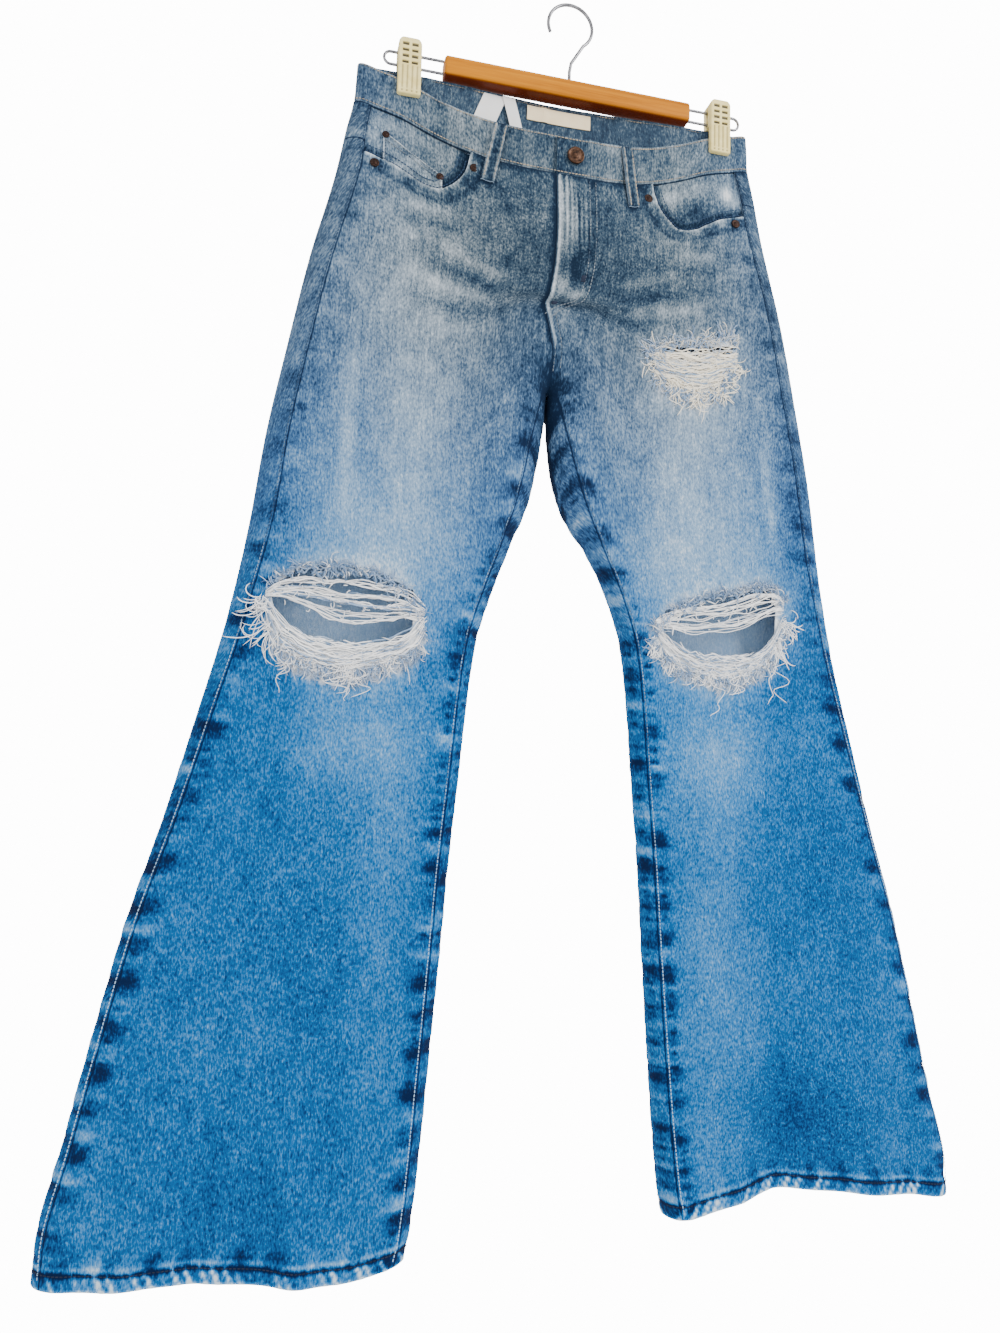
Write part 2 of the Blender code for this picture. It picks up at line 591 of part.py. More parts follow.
def clip_jaw(name, place, face):
    """One jaw, from its side profile: it grips the waistband and rides on the rails."""
    grip = float(DEPTH(BAND_TOP)) + SEAM_GAP
    inner_top = RAIL_RADIUS + SEAM_GAP
    outer = grip + CLIP_THICK
    profile = [(grip, CLIP_FOOT), (outer - .001, CLIP_FOOT), (outer, CLIP_FOOT + .002), (outer, CLIP_TOP - .006),
               (outer - .0015, CLIP_TOP - .0015), (outer - .004, CLIP_TOP), (inner_top, CLIP_TOP),
               (inner_top, BAND_TOP + .0022), (grip, BAND_TOP + .0022)]
    bm = bmesh.new()
    left, right = place - CLIP_WIDTH / 2, place + CLIP_WIDTH / 2
    rim = [bm.verts.new((left, face * y, z - WAIST_DROP)) for y, z in profile]
    shape = bm.faces.new(rim)
    grown = bmesh.ops.extrude_face_region(bm, geom=[shape])["geom"]
    bmesh.ops.translate(bm, verts=[v for v in grown if isinstance(v, bmesh.types.BMVert)], vec=(right - left, 0, 0))
    return piece(name, bm, FINISH["plastic"])


for old in list(bpy.data.objects):
    bpy.data.objects.remove(old, do_unlink=True)

FINISH = {
    "denim": material("denim", (.115, .215, .335), .88),
    "weft": material("white_weft", (.62, .64, .60), .92),
    "tape": material("label_tape", (.78, .74, .60), .80),
    "copper": material("aged_copper", (.30, .15, .08), .45, 1.0),
    "brass": material("dark_brass", (.16, .10, .06), .42, 1.0),
    "wood": material("honey_wood", (.62, .27, .035), .45),
    "steel": material("hanger_steel", (.42, .42, .43), .30, 1.0),
    "plastic": material("ivory_plastic", (.72, .66, .45), .50),
}

front_panels()
frayed_sheets()
back_panels()
front_pockets()
back_pockets()
fly_shield()
waistband()
belt_loops()
labels()
fasteners()
hanger()
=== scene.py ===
"""Faded bootcut jeans on a clip hanger: the finish of the cloth, its creases, stitching and frayed rips."""
import math

import bmesh
import bpy
import numpy as np
from mathutils import Matrix, Vector


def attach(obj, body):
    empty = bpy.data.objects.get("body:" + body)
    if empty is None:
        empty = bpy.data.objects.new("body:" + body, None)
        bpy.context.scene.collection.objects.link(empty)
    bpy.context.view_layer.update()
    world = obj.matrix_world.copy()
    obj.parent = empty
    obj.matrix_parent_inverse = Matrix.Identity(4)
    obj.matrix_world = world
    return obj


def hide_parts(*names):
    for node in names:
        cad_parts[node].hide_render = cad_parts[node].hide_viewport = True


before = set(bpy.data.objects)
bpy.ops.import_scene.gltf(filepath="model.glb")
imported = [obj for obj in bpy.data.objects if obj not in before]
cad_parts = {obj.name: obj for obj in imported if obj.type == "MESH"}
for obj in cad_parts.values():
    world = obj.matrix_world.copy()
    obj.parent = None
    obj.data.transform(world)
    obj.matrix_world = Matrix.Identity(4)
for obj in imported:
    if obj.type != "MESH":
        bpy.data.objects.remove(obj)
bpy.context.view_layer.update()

FRONT, BACK = -1, 1
RIGHT, LEFT = -1, 1   # the wearer's; the wearer's right is the viewer's left
SIDE_NAME = {RIGHT: "right", LEFT: "left"}

# Sizes in metres. The garment is first laid out straight, its waist just below height 0, and then hung.
WALL = 0.0012
BAND_WALL = 0.0024
SEAM_GAP = 0.0003
HALF_GAP = -0.0001   # neighbours overlap a little, so that no light shows through a seam
LYING = 0.0008       # what lies on a panel starts this far above it
SLACK = 0.0005       # room between a layer and the one behind it
BEHIND = WALL + SEAM_GAP + SLACK
BAND_TOP = -0.013
BAND_SEAM = -0.050
FLY_EDGE = -0.013
CROTCH = -0.305
HEM = -1.02
CROTCH_ROUND = 0.022
SADDLE_DROP = 0.025
SADDLE_REACH = (0.02, 0.09)
SAG_SPAN = 0.130
WAIST_OFFSET = -0.0075
WAIST_DROP = 0.0855
HEM_BAND = 0.0125
HEM_STITCHES = HEM + HEM_BAND - 0.0015
GRADIENT_STEP = 0.0002


class Curve:
    """A smooth curve through short rows of (place, value), level beyond both ends."""

    def __init__(self, *rows):
        self.place, self.value = np.array(sorted(rows), float).T
        run = np.diff(self.place)
        rise = np.diff(self.value) / run
        slope = np.zeros(len(self.place))
        same_way = rise[:-1] * rise[1:] > 0
        total = np.where(same_way, rise[:-1] + rise[1:], 1.0)
        slope[1:-1] = np.where(same_way, 2 * rise[:-1] * rise[1:] / total, 0.0)
        self.slope = slope

    def __call__(self, at):
        at = np.clip(at, self.place[0], self.place[-1])
        i = np.clip(np.searchsorted(self.place, at) - 1, 0, len(self.place) - 2)
        run = self.place[i + 1] - self.place[i]
        t = (at - self.place[i]) / run
        near = (1 + 2 * t) * (1 - t) ** 2 * self.value[i] + t * (1 - t) ** 2 * run * self.slope[i]
        far = t * t * (3 - 2 * t) * self.value[i + 1] - t * t * (1 - t) * run * self.slope[i + 1]
        return near + far


def ease(start, end, at):
    """From 0 at start to 1 at end, smoothly."""
    t = np.clip((at - start) / (end - start), 0.0, 1.0)
    return t * t * (3 - 2 * t)


# Outline, by height: half the whole width, and from the middle to each leg's inner edge.
OUTER = Curve((0.0, .190), (-.04, .191), (-.08, .198), (-.12, .205), (-.20, .224), (-.28, .239),
              (-.36, .253), (-.44, .263), (-.52, .277), (-.60, .2965), (-.68, .317), (-.76, .340),
              (-.84, .358), (-.92, .3745), (-1.0, .390), (HEM - .02, .390))
INNER = Curve((CROTCH, .0003), (-.335, .0025), (-.36, .006), (-.40, .017), (-.44, .036), (-.48, .053),
              (-.52, .0655), (-.56, .0715), (-.64, .0785), (-.72, .0855), (-.80, .091), (-.88, .097),
              (-.96, .1035), (-1.0, .108), (HEM - .01, .114))
DEPTH = Curve((BAND_TOP, .0040), (-.046, .0040), (-.08, .0085), (-.12, .0135), (-.17, .0175), (-.25, .021),
              (-.40, .020), (-.51, .0165), (-.70, .0160), (-.90, .019), (HEM, .022))
OUTER_ROUND = Curve((BAND_TOP, .008), (BAND_SEAM, .010), (-.10, .018), (-.20, .026), (-.50, .020),
                    (-.70, .018), (HEM, .026))
OUTSEAM_IN = Curve((BAND_SEAM, .016), (-.12, .020), (-.40, .020), (-.51, .015), (-.80, .009), (HEM, .008))
INSEAM_IN = Curve((CROTCH, .0006), (-.318, .005), (-.335, .008), (-.37, .0105), (HEM, .0105))
YOKE_SIDE = -.088
YOKE_DIP = .034
YOKE_FADE = (-.27, -.12)

DROOP = Curve((0, -.057), (.03, -.054), (.06, -.046), (.09, -.034), (.12, -.021), (.15, -.009), (.17, -.004),
              (.19, 0))
DROOP_FADE = (-.27, BAND_SEAM)
SAG = Curve((BAND_SEAM, .032), (-.10, .030), (-.17, .019), (-.24, .008), (-.30, 0))
BACK_SAG = Curve((BAND_SEAM, .006), (-.12, .004), (-.22, 0))
SADDLE = Curve((-.20, 0), (-.26, 1), (-.37, 1), (-.46, 0))
LEAN = Curve((-.15, 0), (-.28, -.009), (-.34, -.009), (-.50, 0))
HEM_FADE = (-.86, HEM)
HEM_WAVE = {
    RIGHT: Curve((0, -.001), (.2, -.002), (.5, -.006), (.8, -.014), (1, -.006)),
    LEFT: Curve((0, .010), (.2, .016), (.45, .024), (.65, .028), (.85, .016), (1, .008)),
}
# Folds: side, layer, upper end (x, z), lower end (x, z), half-width, height.
LARGE_FOLDS = (
    (RIGHT, FRONT, .210, -.90, .200, -1.03, .016, .007),
    (RIGHT, FRONT, .150, -.58, .190, -.86, .022, .004),
    (RIGHT, FRONT, .300, -.88, .330, -1.03, .020, .006),
    (RIGHT, FRONT, .020, -.20, .060, -.33, .014, .004),
    (RIGHT, FRONT, .170, -.14, .215, -.30, .020, -.003),
    (RIGHT, BACK, .215, -.80, .235, -1.03, .024, .007),
    (RIGHT, BACK, .110, -.36, .190, -.56, .020, .005),
    (RIGHT, BACK, .150, -.10, .185, -.26, .020, -.003),
    (LEFT, FRONT, .200, -.78, .215, -1.03, .018, -.007),
    (LEFT, FRONT, .275, -.84, .300, -1.03, .022, .007),
    (LEFT, FRONT, .130, -.58, .160, -.82, .020, .004),
    (LEFT, FRONT, .012, -.26, .075, -.37, .012, .005),
    (LEFT, FRONT, .160, -.14, .210, -.32, .020, -.003),
    (LEFT, BACK, .205, -.82, .240, -1.03, .026, .006),
    (LEFT, BACK, .115, -.38, .180, -.58, .020, .005),
    (LEFT, BACK, .130, -.10, .180, -.28, .020, -.003),
)
CREASES = (
    (RIGHT, FRONT, .030, -.205, .120, -.155, .007, .0016),
    (RIGHT, FRONT, .035, -.225, .150, -.170, .006, .0014),
    (RIGHT, FRONT, .040, -.245, .160, -.205, .008, -.0014),
    (RIGHT, FRONT, .030, -.262, .120, -.262, .007, .0012),
    (RIGHT, FRONT, .100, -.128, .150, -.136, .007, .0018),
    (RIGHT, FRONT, .110, -.075, .170, -.085, .006, -.0015),
    (RIGHT, FRONT, .070, -.300, .110, -.420, .012, .0022),
    (RIGHT, FRONT, .150, -.300, .160, -.430, .014, -.0018),
    (RIGHT, FRONT, .120, -.575, .180, -.600, .010, -.0022),
    (RIGHT, FRONT, .140, -.600, .230, -.590, .010, .0018),
    (RIGHT, FRONT, .240, -.640, .270, -.800, .012, -.0025),
    (RIGHT, FRONT, .155, -.760, .150, -.950, .012, -.0028),
    (RIGHT, FRONT, .262, -.820, .275, -1.02, .012, -.0030),
    (LEFT, FRONT, .020, -.200, .100, -.165, .007, .0016),
    (LEFT, FRONT, .025, -.222, .150, -.180, .006, .0016),
    (LEFT, FRONT, .030, -.246, .090, -.225, .008, -.0012),
    (LEFT, FRONT, .100, -.120, .160, -.128, .007, .0020),
    (LEFT, FRONT, .095, -.100, .160, -.112, .005, -.0018),
    (LEFT, FRONT, .050, -.330, .085, -.450, .012, .0022),
    (LEFT, FRONT, .130, -.330, .145, -.440, .014, -.0018),
    (LEFT, FRONT, .125, -.565, .190, -.585, .010, -.0020),
    (LEFT, FRONT, .130, -.600, .210, -.590, .010, .0016),
    (LEFT, FRONT, .235, -.640, .255, -.820, .012, -.0025),
    (LEFT, FRONT, .140, -.760, .150, -.900, .012, .0025),
    (LEFT, FRONT, .165, -.880, .175, -1.02, .012, .0030),
    (LEFT, FRONT, .330, -.880, .345, -1.02, .012, -.0025),
    (RIGHT, BACK, .060, -.310, .130, -.345, .009, .0028),
    (RIGHT, BACK, .070, -.330, .150, -.385, .009, -.0024),
    (RIGHT, BACK, .150, -.480, .230, -.520, .012, .0022),
    (RIGHT, BACK, .130, -.505, .240, -.545, .010, -.0020),
    (RIGHT, BACK, .170, -.640, .190, -.860, .016, .0026),
    (RIGHT, BACK, .290, -.800, .310, -1.02, .014, -.0030),
    (LEFT, BACK, .060, -.312, .140, -.350, .009, .0028),
    (LEFT, BACK, .075, -.335, .160, -.380, .009, -.0024),
    (LEFT, BACK, .140, -.470, .220, -.515, .012, .0022),
    (LEFT, BACK, .120, -.500, .230, -.540, .010, -.0020),
    (LEFT, BACK, .165, -.620, .180, -.850, .016, -.0026),
    (LEFT, BACK, .285, -.820, .300, -1.02, .014, .0030),
)


def fullness(x, z):
    """Share of its full depth that a layer loses near a fold's edge or the crotch."""
    edge = np.where(z > CROTCH, np.hypot(x, z - CROTCH), np.abs(x) - INNER(z))
    inner = np.clip(1 - edge / CROTCH_ROUND, 0, None)
    outer = np.clip(1 - (OUTER(z) - x) / OUTER_ROUND(z), 0, None)
    return inner ** 2 + outer ** 2


def surface(x, z, layer):
    """Points of the laid-out garment's outer face, x counted outwards on one half."""
    x, z, layer = np.broadcast_arrays(np.asarray(x, float), np.asarray(z, float), layer)
    y = layer * DEPTH(z) * np.sqrt(np.clip(1 - fullness(x, z), 0, None))
    return np.stack([x, y, z], axis=-1)


def normals(points):
    """Directions out of the laid-out garment at points on its face."""
    def level(p):
        return (p[..., 1] / DEPTH(p[..., 2])) ** 2 + fullness(p[..., 0], p[..., 2])
    steps = np.eye(3) * GRADIENT_STEP
    slope = np.stack([level(points + step) - level(points - step) for step in steps], axis=-1)
    return slope / np.linalg.norm(slope, axis=-1, keepdims=True)


def fold_height(folds, side, x, z, face):
    """How far a layer's folds stand out at laid-out places."""
    total = np.zeros(np.broadcast(x, z).shape)
    for fold_side, layer, x0, z0, x1, z1, width, height in folds:
        if fold_side == side and layer == face:
            run = (x1 - x0) ** 2 + (z1 - z0) ** 2
            along = ((x - x0) * (x1 - x0) + (z - z0) * (z1 - z0)) / run
            near = np.clip(along, 0, 1)
            away = np.hypot(x - x0 - near * (x1 - x0), z - z0 - near * (z1 - z0))
            ends = np.minimum(ease(0, .35, along), 1 if z1 <= HEM else 1 - ease(.65, 1, along))
            total = total + height * ends * np.exp(-(away / width) ** 2)
    return total


def hang(points, side, layer):
    """Laid-out points of one half and one layer, as they hang, in the part's frame."""
    x, y, z = np.moveaxis(np.asarray(points, float), -1, 0)
    depth = np.clip(y / DEPTH(z), -1, 1)
    front = np.where(np.asarray(layer) < 0, 1.0, 0.0)
    middle = np.cos(math.pi / 2 * np.clip(x / SAG_SPAN, -1, 1)) ** 2
    across = np.clip((OUTER(z) - x) / (OUTER(z) - np.maximum(INNER(z), 0)), 0, 1)
    hung_y = y - SAG(z) * middle * front + BACK_SAG(z) * middle * (1 - front)
    for face in (FRONT, BACK):
        height = fold_height(LARGE_FOLDS + CREASES, side, x, z, face)
        hung_y = hung_y + face * height * np.clip(face * depth, 0, 1)
    hung_z = z + DROOP(np.abs(x)) * ease(*DROOP_FADE, z) * front
    hung_z = hung_z - SADDLE_DROP * SADDLE(z) * (1 - ease(*SADDLE_REACH, np.abs(x))) * depth
    hung_z = hung_z + HEM_WAVE[side](across) * (1 - ease(HEM_FADE[1], HEM_FADE[0], z))
    hung_x = side * x + LEAN(z) * (1 - (x / OUTER(z)) ** 2) + WAIST_OFFSET
    return np.stack([hung_x, hung_y, hung_z - WAIST_DROP], axis=-1)


def outseam(z):
    """Where the outer seam of a leg lies at these heights, from the middle."""
    return OUTER(z) - OUTSEAM_IN(z)


def inseam(z):
    """Where the inner seam of a leg lies at these heights, from the middle."""
    return INNER(z) + INSEAM_IN(z)


def fly_line(z):
    """The fly's free edge, which runs into the middle seam, from the middle towards the wearer's left."""
    return FLY_EDGE * (1 - ease(-.235, -.29, z))


def spaced(start, end, count=90):
    """Places from start to end, close together near both ends."""
    return start + (end - start) * (1 - np.cos(np.linspace(0, math.pi, count))) / 2


BEND_WEIGHT = 0.012   # extra length that a turn of one radian counts for when a path is shared out


def resample(path, count):
    """Points along a dense path, closer together where it bends."""
    step = np.diff(path, axis=0)
    length = np.linalg.norm(step, axis=1)
    direction = step / length[:, None]
    turn = np.arccos(np.clip((direction[1:] * direction[:-1]).sum(axis=1), -1, 1))
    spread = length.copy()
    spread[1:] += BEND_WEIGHT * turn
    place = np.concatenate([[0], np.cumsum(spread)])
    wanted = np.linspace(0, place[-1], count)
    return np.stack([np.interp(wanted, place, path[:, k]) for k in range(3)], axis=-1)


def front_row(z, side, count):
    """One row of a front panel, from the fly, middle seam or inseam to the outseam."""
    start = side * float(fly_line(z)) if z > CROTCH else float(inseam(z))
    x = spaced(start + HALF_GAP, float(outseam(z)) - HALF_GAP, 120)
    return resample(surface(x, z, FRONT), count)


def back_row(z, count, dip=0.0):
    """From the outseam on the front, round the outer fold and over the back to its end."""
    strip = surface(spaced(float(outseam(z)) + HALF_GAP, float(OUTER(z)), 60), z, FRONT)
    end = HALF_GAP if z > CROTCH else float(INNER(z))
    x = spaced(float(OUTER(z)), end, 200)[1:]
    lowered = z - dip * YOKE_DIP * (1 - np.clip(x / OUTER(z), 0, 1))
    parts = [strip, surface(x, lowered, BACK)]
    if z <= CROTCH:
        parts.append(surface(spaced(end, end + float(INSEAM_IN(z)) - HALF_GAP, 40)[1:], z, FRONT))
    return resample(np.concatenate(parts), count)


# Frayed openings, laid out: ends across, upper and lower edge of the frayed cloth and of the hole in it.
# A tongue is a thick tuft below: share across, way it points, length, number of yarns.
KNEE_FRAY = dict(border=80, clumps=46, fuzz_inset=.003, fuzz_length=1, fuzz_shade=.32)
THIGH_FRAY = dict(border=60, clumps=34, fuzz_inset=.001, fuzz_length=1.35, fuzz_shade=.42)
RIPS = {
    "knee_right": dict(
        KNEE_FRAY, edge_seed=10, yarn_seed=41, side=RIGHT, node="knee_threads_right", ends=(.113, .248),
        top=Curve((0, -.522), (.06, -.500), (.2, -.480), (.45, -.470), (.75, -.470), (.92, -.482),
                  (1, -.500)),
        foot=Curve((0, -.528), (.06, -.544), (.25, -.558), (.5, -.566), (.75, -.560), (.92, -.545),
                   (1, -.515)),
        hole_top=Curve((0, -.500), (.12, -.486), (.3, -.475), (.55, -.471), (.75, -.474), (.92, -.487),
                       (1, -.500)),
        hole_foot=Curve((0, -.508), (.1, -.523), (.3, -.534), (.5, -.539), (.7, -.536), (.88, -.522),
                        (1, -.505)),
        open_top=Curve((0, -.512), (.2, -.509), (.5, -.507), (.8, -.500), (1, -.496)),
        tongues=((.48, (0, -1), .017, 46), (.95, (.35, -1), .030, 30), (1.0, (.5, -.8), .022, 26),
                 (.80, (.2, -1), .012, 24), (.25, (-.3, -1), .012, 24)),
        hole_ends=(.07, .94), bundles=10, sag=.009, long_threads=7),
    "knee_left": dict(
        KNEE_FRAY, edge_seed=9, yarn_seed=42, side=LEFT, node="knee_threads_left", ends=(.090, .222),
        top=Curve((0, -.512), (.08, -.492), (.3, -.478), (.55, -.468), (.85, -.459), (1, -.470)),
        foot=Curve((0, -.520), (.08, -.536), (.25, -.549), (.5, -.556), (.75, -.546), (.92, -.530),
                   (1, -.508)),
        hole_top=Curve((0, -.500), (.15, -.487), (.4, -.476), (.7, -.467), (.9, -.464), (1, -.472)),
        hole_foot=Curve((0, -.505), (.15, -.520), (.4, -.532), (.7, -.530), (.88, -.515), (1, -.492)),
        open_top=Curve((0, -.505), (.2, -.504), (.5, -.500), (.8, -.490), (1, -.483)),
        tongues=((.93, (.2, -1), .016, 30), (.40, (0, -1), .012, 26), (.62, (.1, -1), .014, 26),
                 (1.0, (.6, -.5), .016, 24), (.06, (-.4, -1), .012, 24)),
        hole_ends=(.07, .93), bundles=8, sag=.006, long_threads=4),
    "thigh_left": dict(
        THIGH_FRAY, edge_seed=10, yarn_seed=43, side=LEFT, node="thigh_threads_left", ends=(.088, .174),
        top=Curve((0, -.254), (.1, -.246), (.5, -.238), (.9, -.228), (1, -.236)),
        foot=Curve((0, -.262), (.15, -.284), (.5, -.296), (.8, -.288), (1, -.262)),
        hole_top=Curve((0, -.250), (.3, -.244), (.6, -.241), (1, -.236)),
        hole_foot=Curve((0, -.256), (.3, -.256), (.6, -.254), (1, -.248)),
        open_top=Curve((0, -.280), (.5, -.292), (1, -.280)),
        tongues=((.30, (0, -1), .014, 36), (.55, (-.1, -1), .018, 44), (.80, (.1, -1), .013, 30),
                 (.08, (-.6, -.8), .012, 26), (.93, (.8, -.5), .014, 34)),
        hole_ends=(.12, .95), bundles=15, sag=.002, long_threads=3),
}
MOUTH_START, MOUTH_END = .0865, .184
MOUTH = Curve((MOUTH_START, BAND_SEAM + .004), (.090, -.068), (.096, -.083), (.105, -.097), (.117, -.108),
              (.130, -.110), (.145, -.1065), (.160, -.1030), (.172, -.1015), (MOUTH_END, -.1010))
COIN_TOP = ((.112, -.0885), (.165, -.0715))


WAVE_SINES = 5
LUMPS = 512


def wave(seed):
    """A smooth uneven line with a value near -1 to 1, the same for the same seed."""
    rng = np.random.default_rng(seed)
    rates, turns = rng.uniform(.6, 1.9, WAVE_SINES), rng.uniform(0, 2 * math.pi, WAVE_SINES)

    def value(at):
        total = sum(np.sin(at * rate * 2 * math.pi + turn) for rate, turn in zip(rates, turns))
        return total / WAVE_SINES * 1.6
    return value


def lumps(seed, pitch):
    """Uneven bumps along a line, each with its own strength from 0 to 1, about a pitch apart."""
    rng = np.random.default_rng(seed)
    strengths, shifts = rng.uniform(0, 1, LUMPS), rng.uniform(-.25, .25, LUMPS)

    def value(at):
        cell = np.floor(at / pitch).astype(int) % LUMPS
        place = at / pitch - np.floor(at / pitch) - .5 - shifts[cell]
        return strengths[cell] * np.exp(-(place / .20) ** 2)
    return value


def patch_shade(rows, side, face, x, z):
    """Sum of soft worn or dark places: side, layer, place (x, z), reach (x, z), amount."""
    total = np.zeros(np.broadcast(x, z).shape)
    for row_side, layer, x0, z0, reach_x, reach_z, amount in rows:
        if row_side in (side, 0) and layer == face:
            total = total + amount * np.exp(-((x - x0) / reach_x) ** 2 - ((z - z0) / reach_z) ** 2)
    return total


# Worn (positive) and dark (negative) places on both halves (side 0) or one; the dark ones in the crotch are
# painted shadow.
WEAR_AND_SHADE = (
    (0, FRONT, .125, -.34, .050, .130, .24),
    (0, FRONT, .145, -.47, .060, .060, .16),
    (RIGHT, FRONT, .160, -.21, .035, .060, .10),
    (LEFT, FRONT, .190, -.40, .040, .090, .14),
    (LEFT, FRONT, .100, -.45, .060, .070, .08),
    (RIGHT, FRONT, .165, -.615, .060, .045, .22),
    (LEFT, FRONT, .165, -.615, .050, .045, .16),
    (RIGHT, FRONT, .100, -.150, .060, .020, .06),
    (0, FRONT, .020, -.170, .085, .110, -.17),
    (LEFT, FRONT, .100, -.190, .060, .050, -.12),
    (0, FRONT, .080, -.060, .140, .050, -.12),
    (0, FRONT, .225, -.300, .030, .150, -.05),
    # Painted shadow in the crotch: on the fronts where the legs part, and on the back between them.
    (0, FRONT, .018, -.325, .016, .040, -.14),
    (0, FRONT, .002, -.318, .006, .028, -.55),
    (0, BACK, .010, -.330, .022, .045, -1.10),
    (RIGHT, FRONT, .200, -.400, .030, .090, .17),
    (RIGHT, FRONT, .150, -.450, .050, .050, .08),
    (LEFT, FRONT, .055, -.350, .030, .060, .06),
    (RIGHT, FRONT, .200, -.900, .140, .260, -.04),
    (LEFT, FRONT, .250, -.820, .045, .200, -.05),
    (LEFT, FRONT, .240, -.960, .060, .060, -.08),
    (RIGHT, FRONT, .140, -.780, .022, .200, .08),
    (LEFT, FRONT, .150, -.760, .040, .230, .13),
    (0, BACK, .110, -.235, .070, .090, .24),
    (0, BACK, .130, -.400, .070, .120, .12),
    (0, BACK, .160, -.520, .060, .060, .12),
    (0, BACK, .015, -.200, .030, .110, -.10),
)
WHISKERS = (
    (RIGHT, FRONT, .030, -.205, .130, -.160, .006, .20),
    (RIGHT, FRONT, .035, -.218, .150, -.178, .005, -.18),
    (RIGHT, FRONT, .040, -.232, .165, -.196, .007, .22),
    (RIGHT, FRONT, .035, -.250, .150, -.222, .006, -.14),
    (RIGHT, FRONT, .040, -.264, .130, -.250, .007, .14),
    (RIGHT, FRONT, .090, -.128, .165, -.140, .005, .16),
    (RIGHT, FRONT, .080, -.142, .160, -.156, .004, -.12),
    (RIGHT, FRONT, .178, -.230, .186, -.455, .007, .15),
    (RIGHT, FRONT, .200, -.250, .206, -.470, .012, -.05),
    (LEFT, FRONT, .196, -.300, .216, -.450, .006, .16),
    (LEFT, FRONT, .222, -.290, .240, -.460, .012, -.08),
    (LEFT, FRONT, .030, -.190, .120, -.158, .006, .18),
    (LEFT, FRONT, .035, -.206, .150, -.176, .005, -.16),
    (LEFT, FRONT, .040, -.222, .160, -.194, .007, .22),
    (LEFT, FRONT, .030, -.242, .090, -.222, .006, -.14),
    (LEFT, FRONT, .090, -.136, .165, -.146, .005, .16),
    (LEFT, FRONT, .080, -.150, .160, -.162, .004, -.12),
    (LEFT, FRONT, .060, -.115, .130, -.122, .005, .12),
)


def seam_marks(seed, along, away, reach):
    """Dark dips and pale ridges that a puckered seam wears into the cloth beside it."""
    dark, pale, small = lumps(seed, .0290), lumps(seed + 50, .0310), lumps(seed + 80, .0105)
    near = np.exp(-(away / reach) ** 2)
    return near * (.80 * pale(along) - 1.20 * dark(along + .009) - .45 * small(along))


# Marks beside a long seam: their reach, where the close dark dips lie and how deep they are, and the
# strength of all. A pair is the value above the knee and what the lower leg adds to it.
OUTSEAM_MARKS = dict(reach=.0075, dip_place=.0045, dip_depth=(.36, .24), strength=(.18, .28))
INSEAM_MARKS = dict(reach=.0080, dip_place=.0072, dip_depth=(1.0, 0), strength=(.34, .14))
FLANK = .0065   # from a seam to the middle of the puckers on either side of it


def seam_wear(x, z, seed, seam, beside, present):
    """Puckers on each side of a long seam, and how much they change the tone."""
    lower = ease(-.34, -.62, z)
    dip_depth, strength = (above + more * lower for above, more in (beside["dip_depth"], beside["strength"]))
    for flank in (-1, 1):
        away = (x - seam) - flank * FLANK
        marks = seam_marks(seed + flank, z, away, beside["reach"]) * present
        dip = np.exp(-(((x - seam) - flank * beside["dip_place"]) / .0032) ** 2) * present
        marks = marks - dip_depth * dip * lumps(seed + 30 + flank, .0105)(z)
        yield marks, strength


def hem_wear(x, z, seed):
    """The turned hem: a stitched groove, which gets painted shadow, a ridge over it and rope marks that slant
    across.
    """
    away = z - (HEM + HEM_BAND)
    marks = seam_marks(seed + 90, x + .3 * z, away - .004, .009)
    band = ease(HEM + HEM_BAND + .002, HEM + HEM_BAND - .002, z)
    groove = np.exp(-((z - HEM_STITCHES) / .0015) ** 2)
    ridge = np.exp(-((z - HEM_STITCHES - .0042) / .0018) ** 2)
    slanted = x - .45 * (z - HEM)
    rope = lumps(seed + 120, .0090)(slanted)
    return marks, band, groove, ridge, rope


def denim_marks(side, x, z, face, hem=True):
    """How worn the cloth is at laid-out places, with painted shadow under the waistband, in the crotch and in
    the hem's groove, as a tone from 0, dark, to 1, white, and its pucker's height.
    """
    # Painted shadow on the panel just below the waistband's seam.
    band_shadow = np.exp(-((BAND_SEAM - z) / .0045) ** 2)
    tone = .44 - .26 * band_shadow
    tone = tone + patch_shade(WEAR_AND_SHADE, side, face, x, z) + fold_height(WHISKERS, side, x, z, face)
    seed = 7 + side * 3 + face
    pucker = np.zeros(np.broadcast(x, z).shape)
    below_crotch = ease(CROTCH + .02, CROTCH - .02, z)
    for k, (seam, beside, present) in enumerate(((outseam(z), OUTSEAM_MARKS, 1.0),
                                                 (inseam(z), INSEAM_MARKS, below_crotch))):
        for marks, strength in seam_wear(x, z, seed + 10 * k, seam, beside, present):
            tone = tone + strength * marks
            pucker = pucker + .0007 * marks
    edge = np.where(face > 0, OUTER(z) - x, 9.0)
    tone = tone + .10 * ease(-.34, -.62, z) * np.exp(-(edge / .004) ** 2)
    if hem:
        marks, band, groove, ridge, rope = hem_wear(x, z, seed)
        tone = tone + .34 * marks * ease(HEM + .05, HEM + .02, z)
        # Painted shadow in the hem's stitched groove, with a pale ridge over it.
        tone = tone - .62 * groove + .24 * ridge + band * (.95 * rope - .04)
        tone = tone + .30 * np.exp(-((z - HEM) / .0016) ** 2)
        pucker = pucker + .0007 * marks + .0007 * band + .0005 * band * rope - .0006 * groove + .0003 * ridge
    return tone, pucker


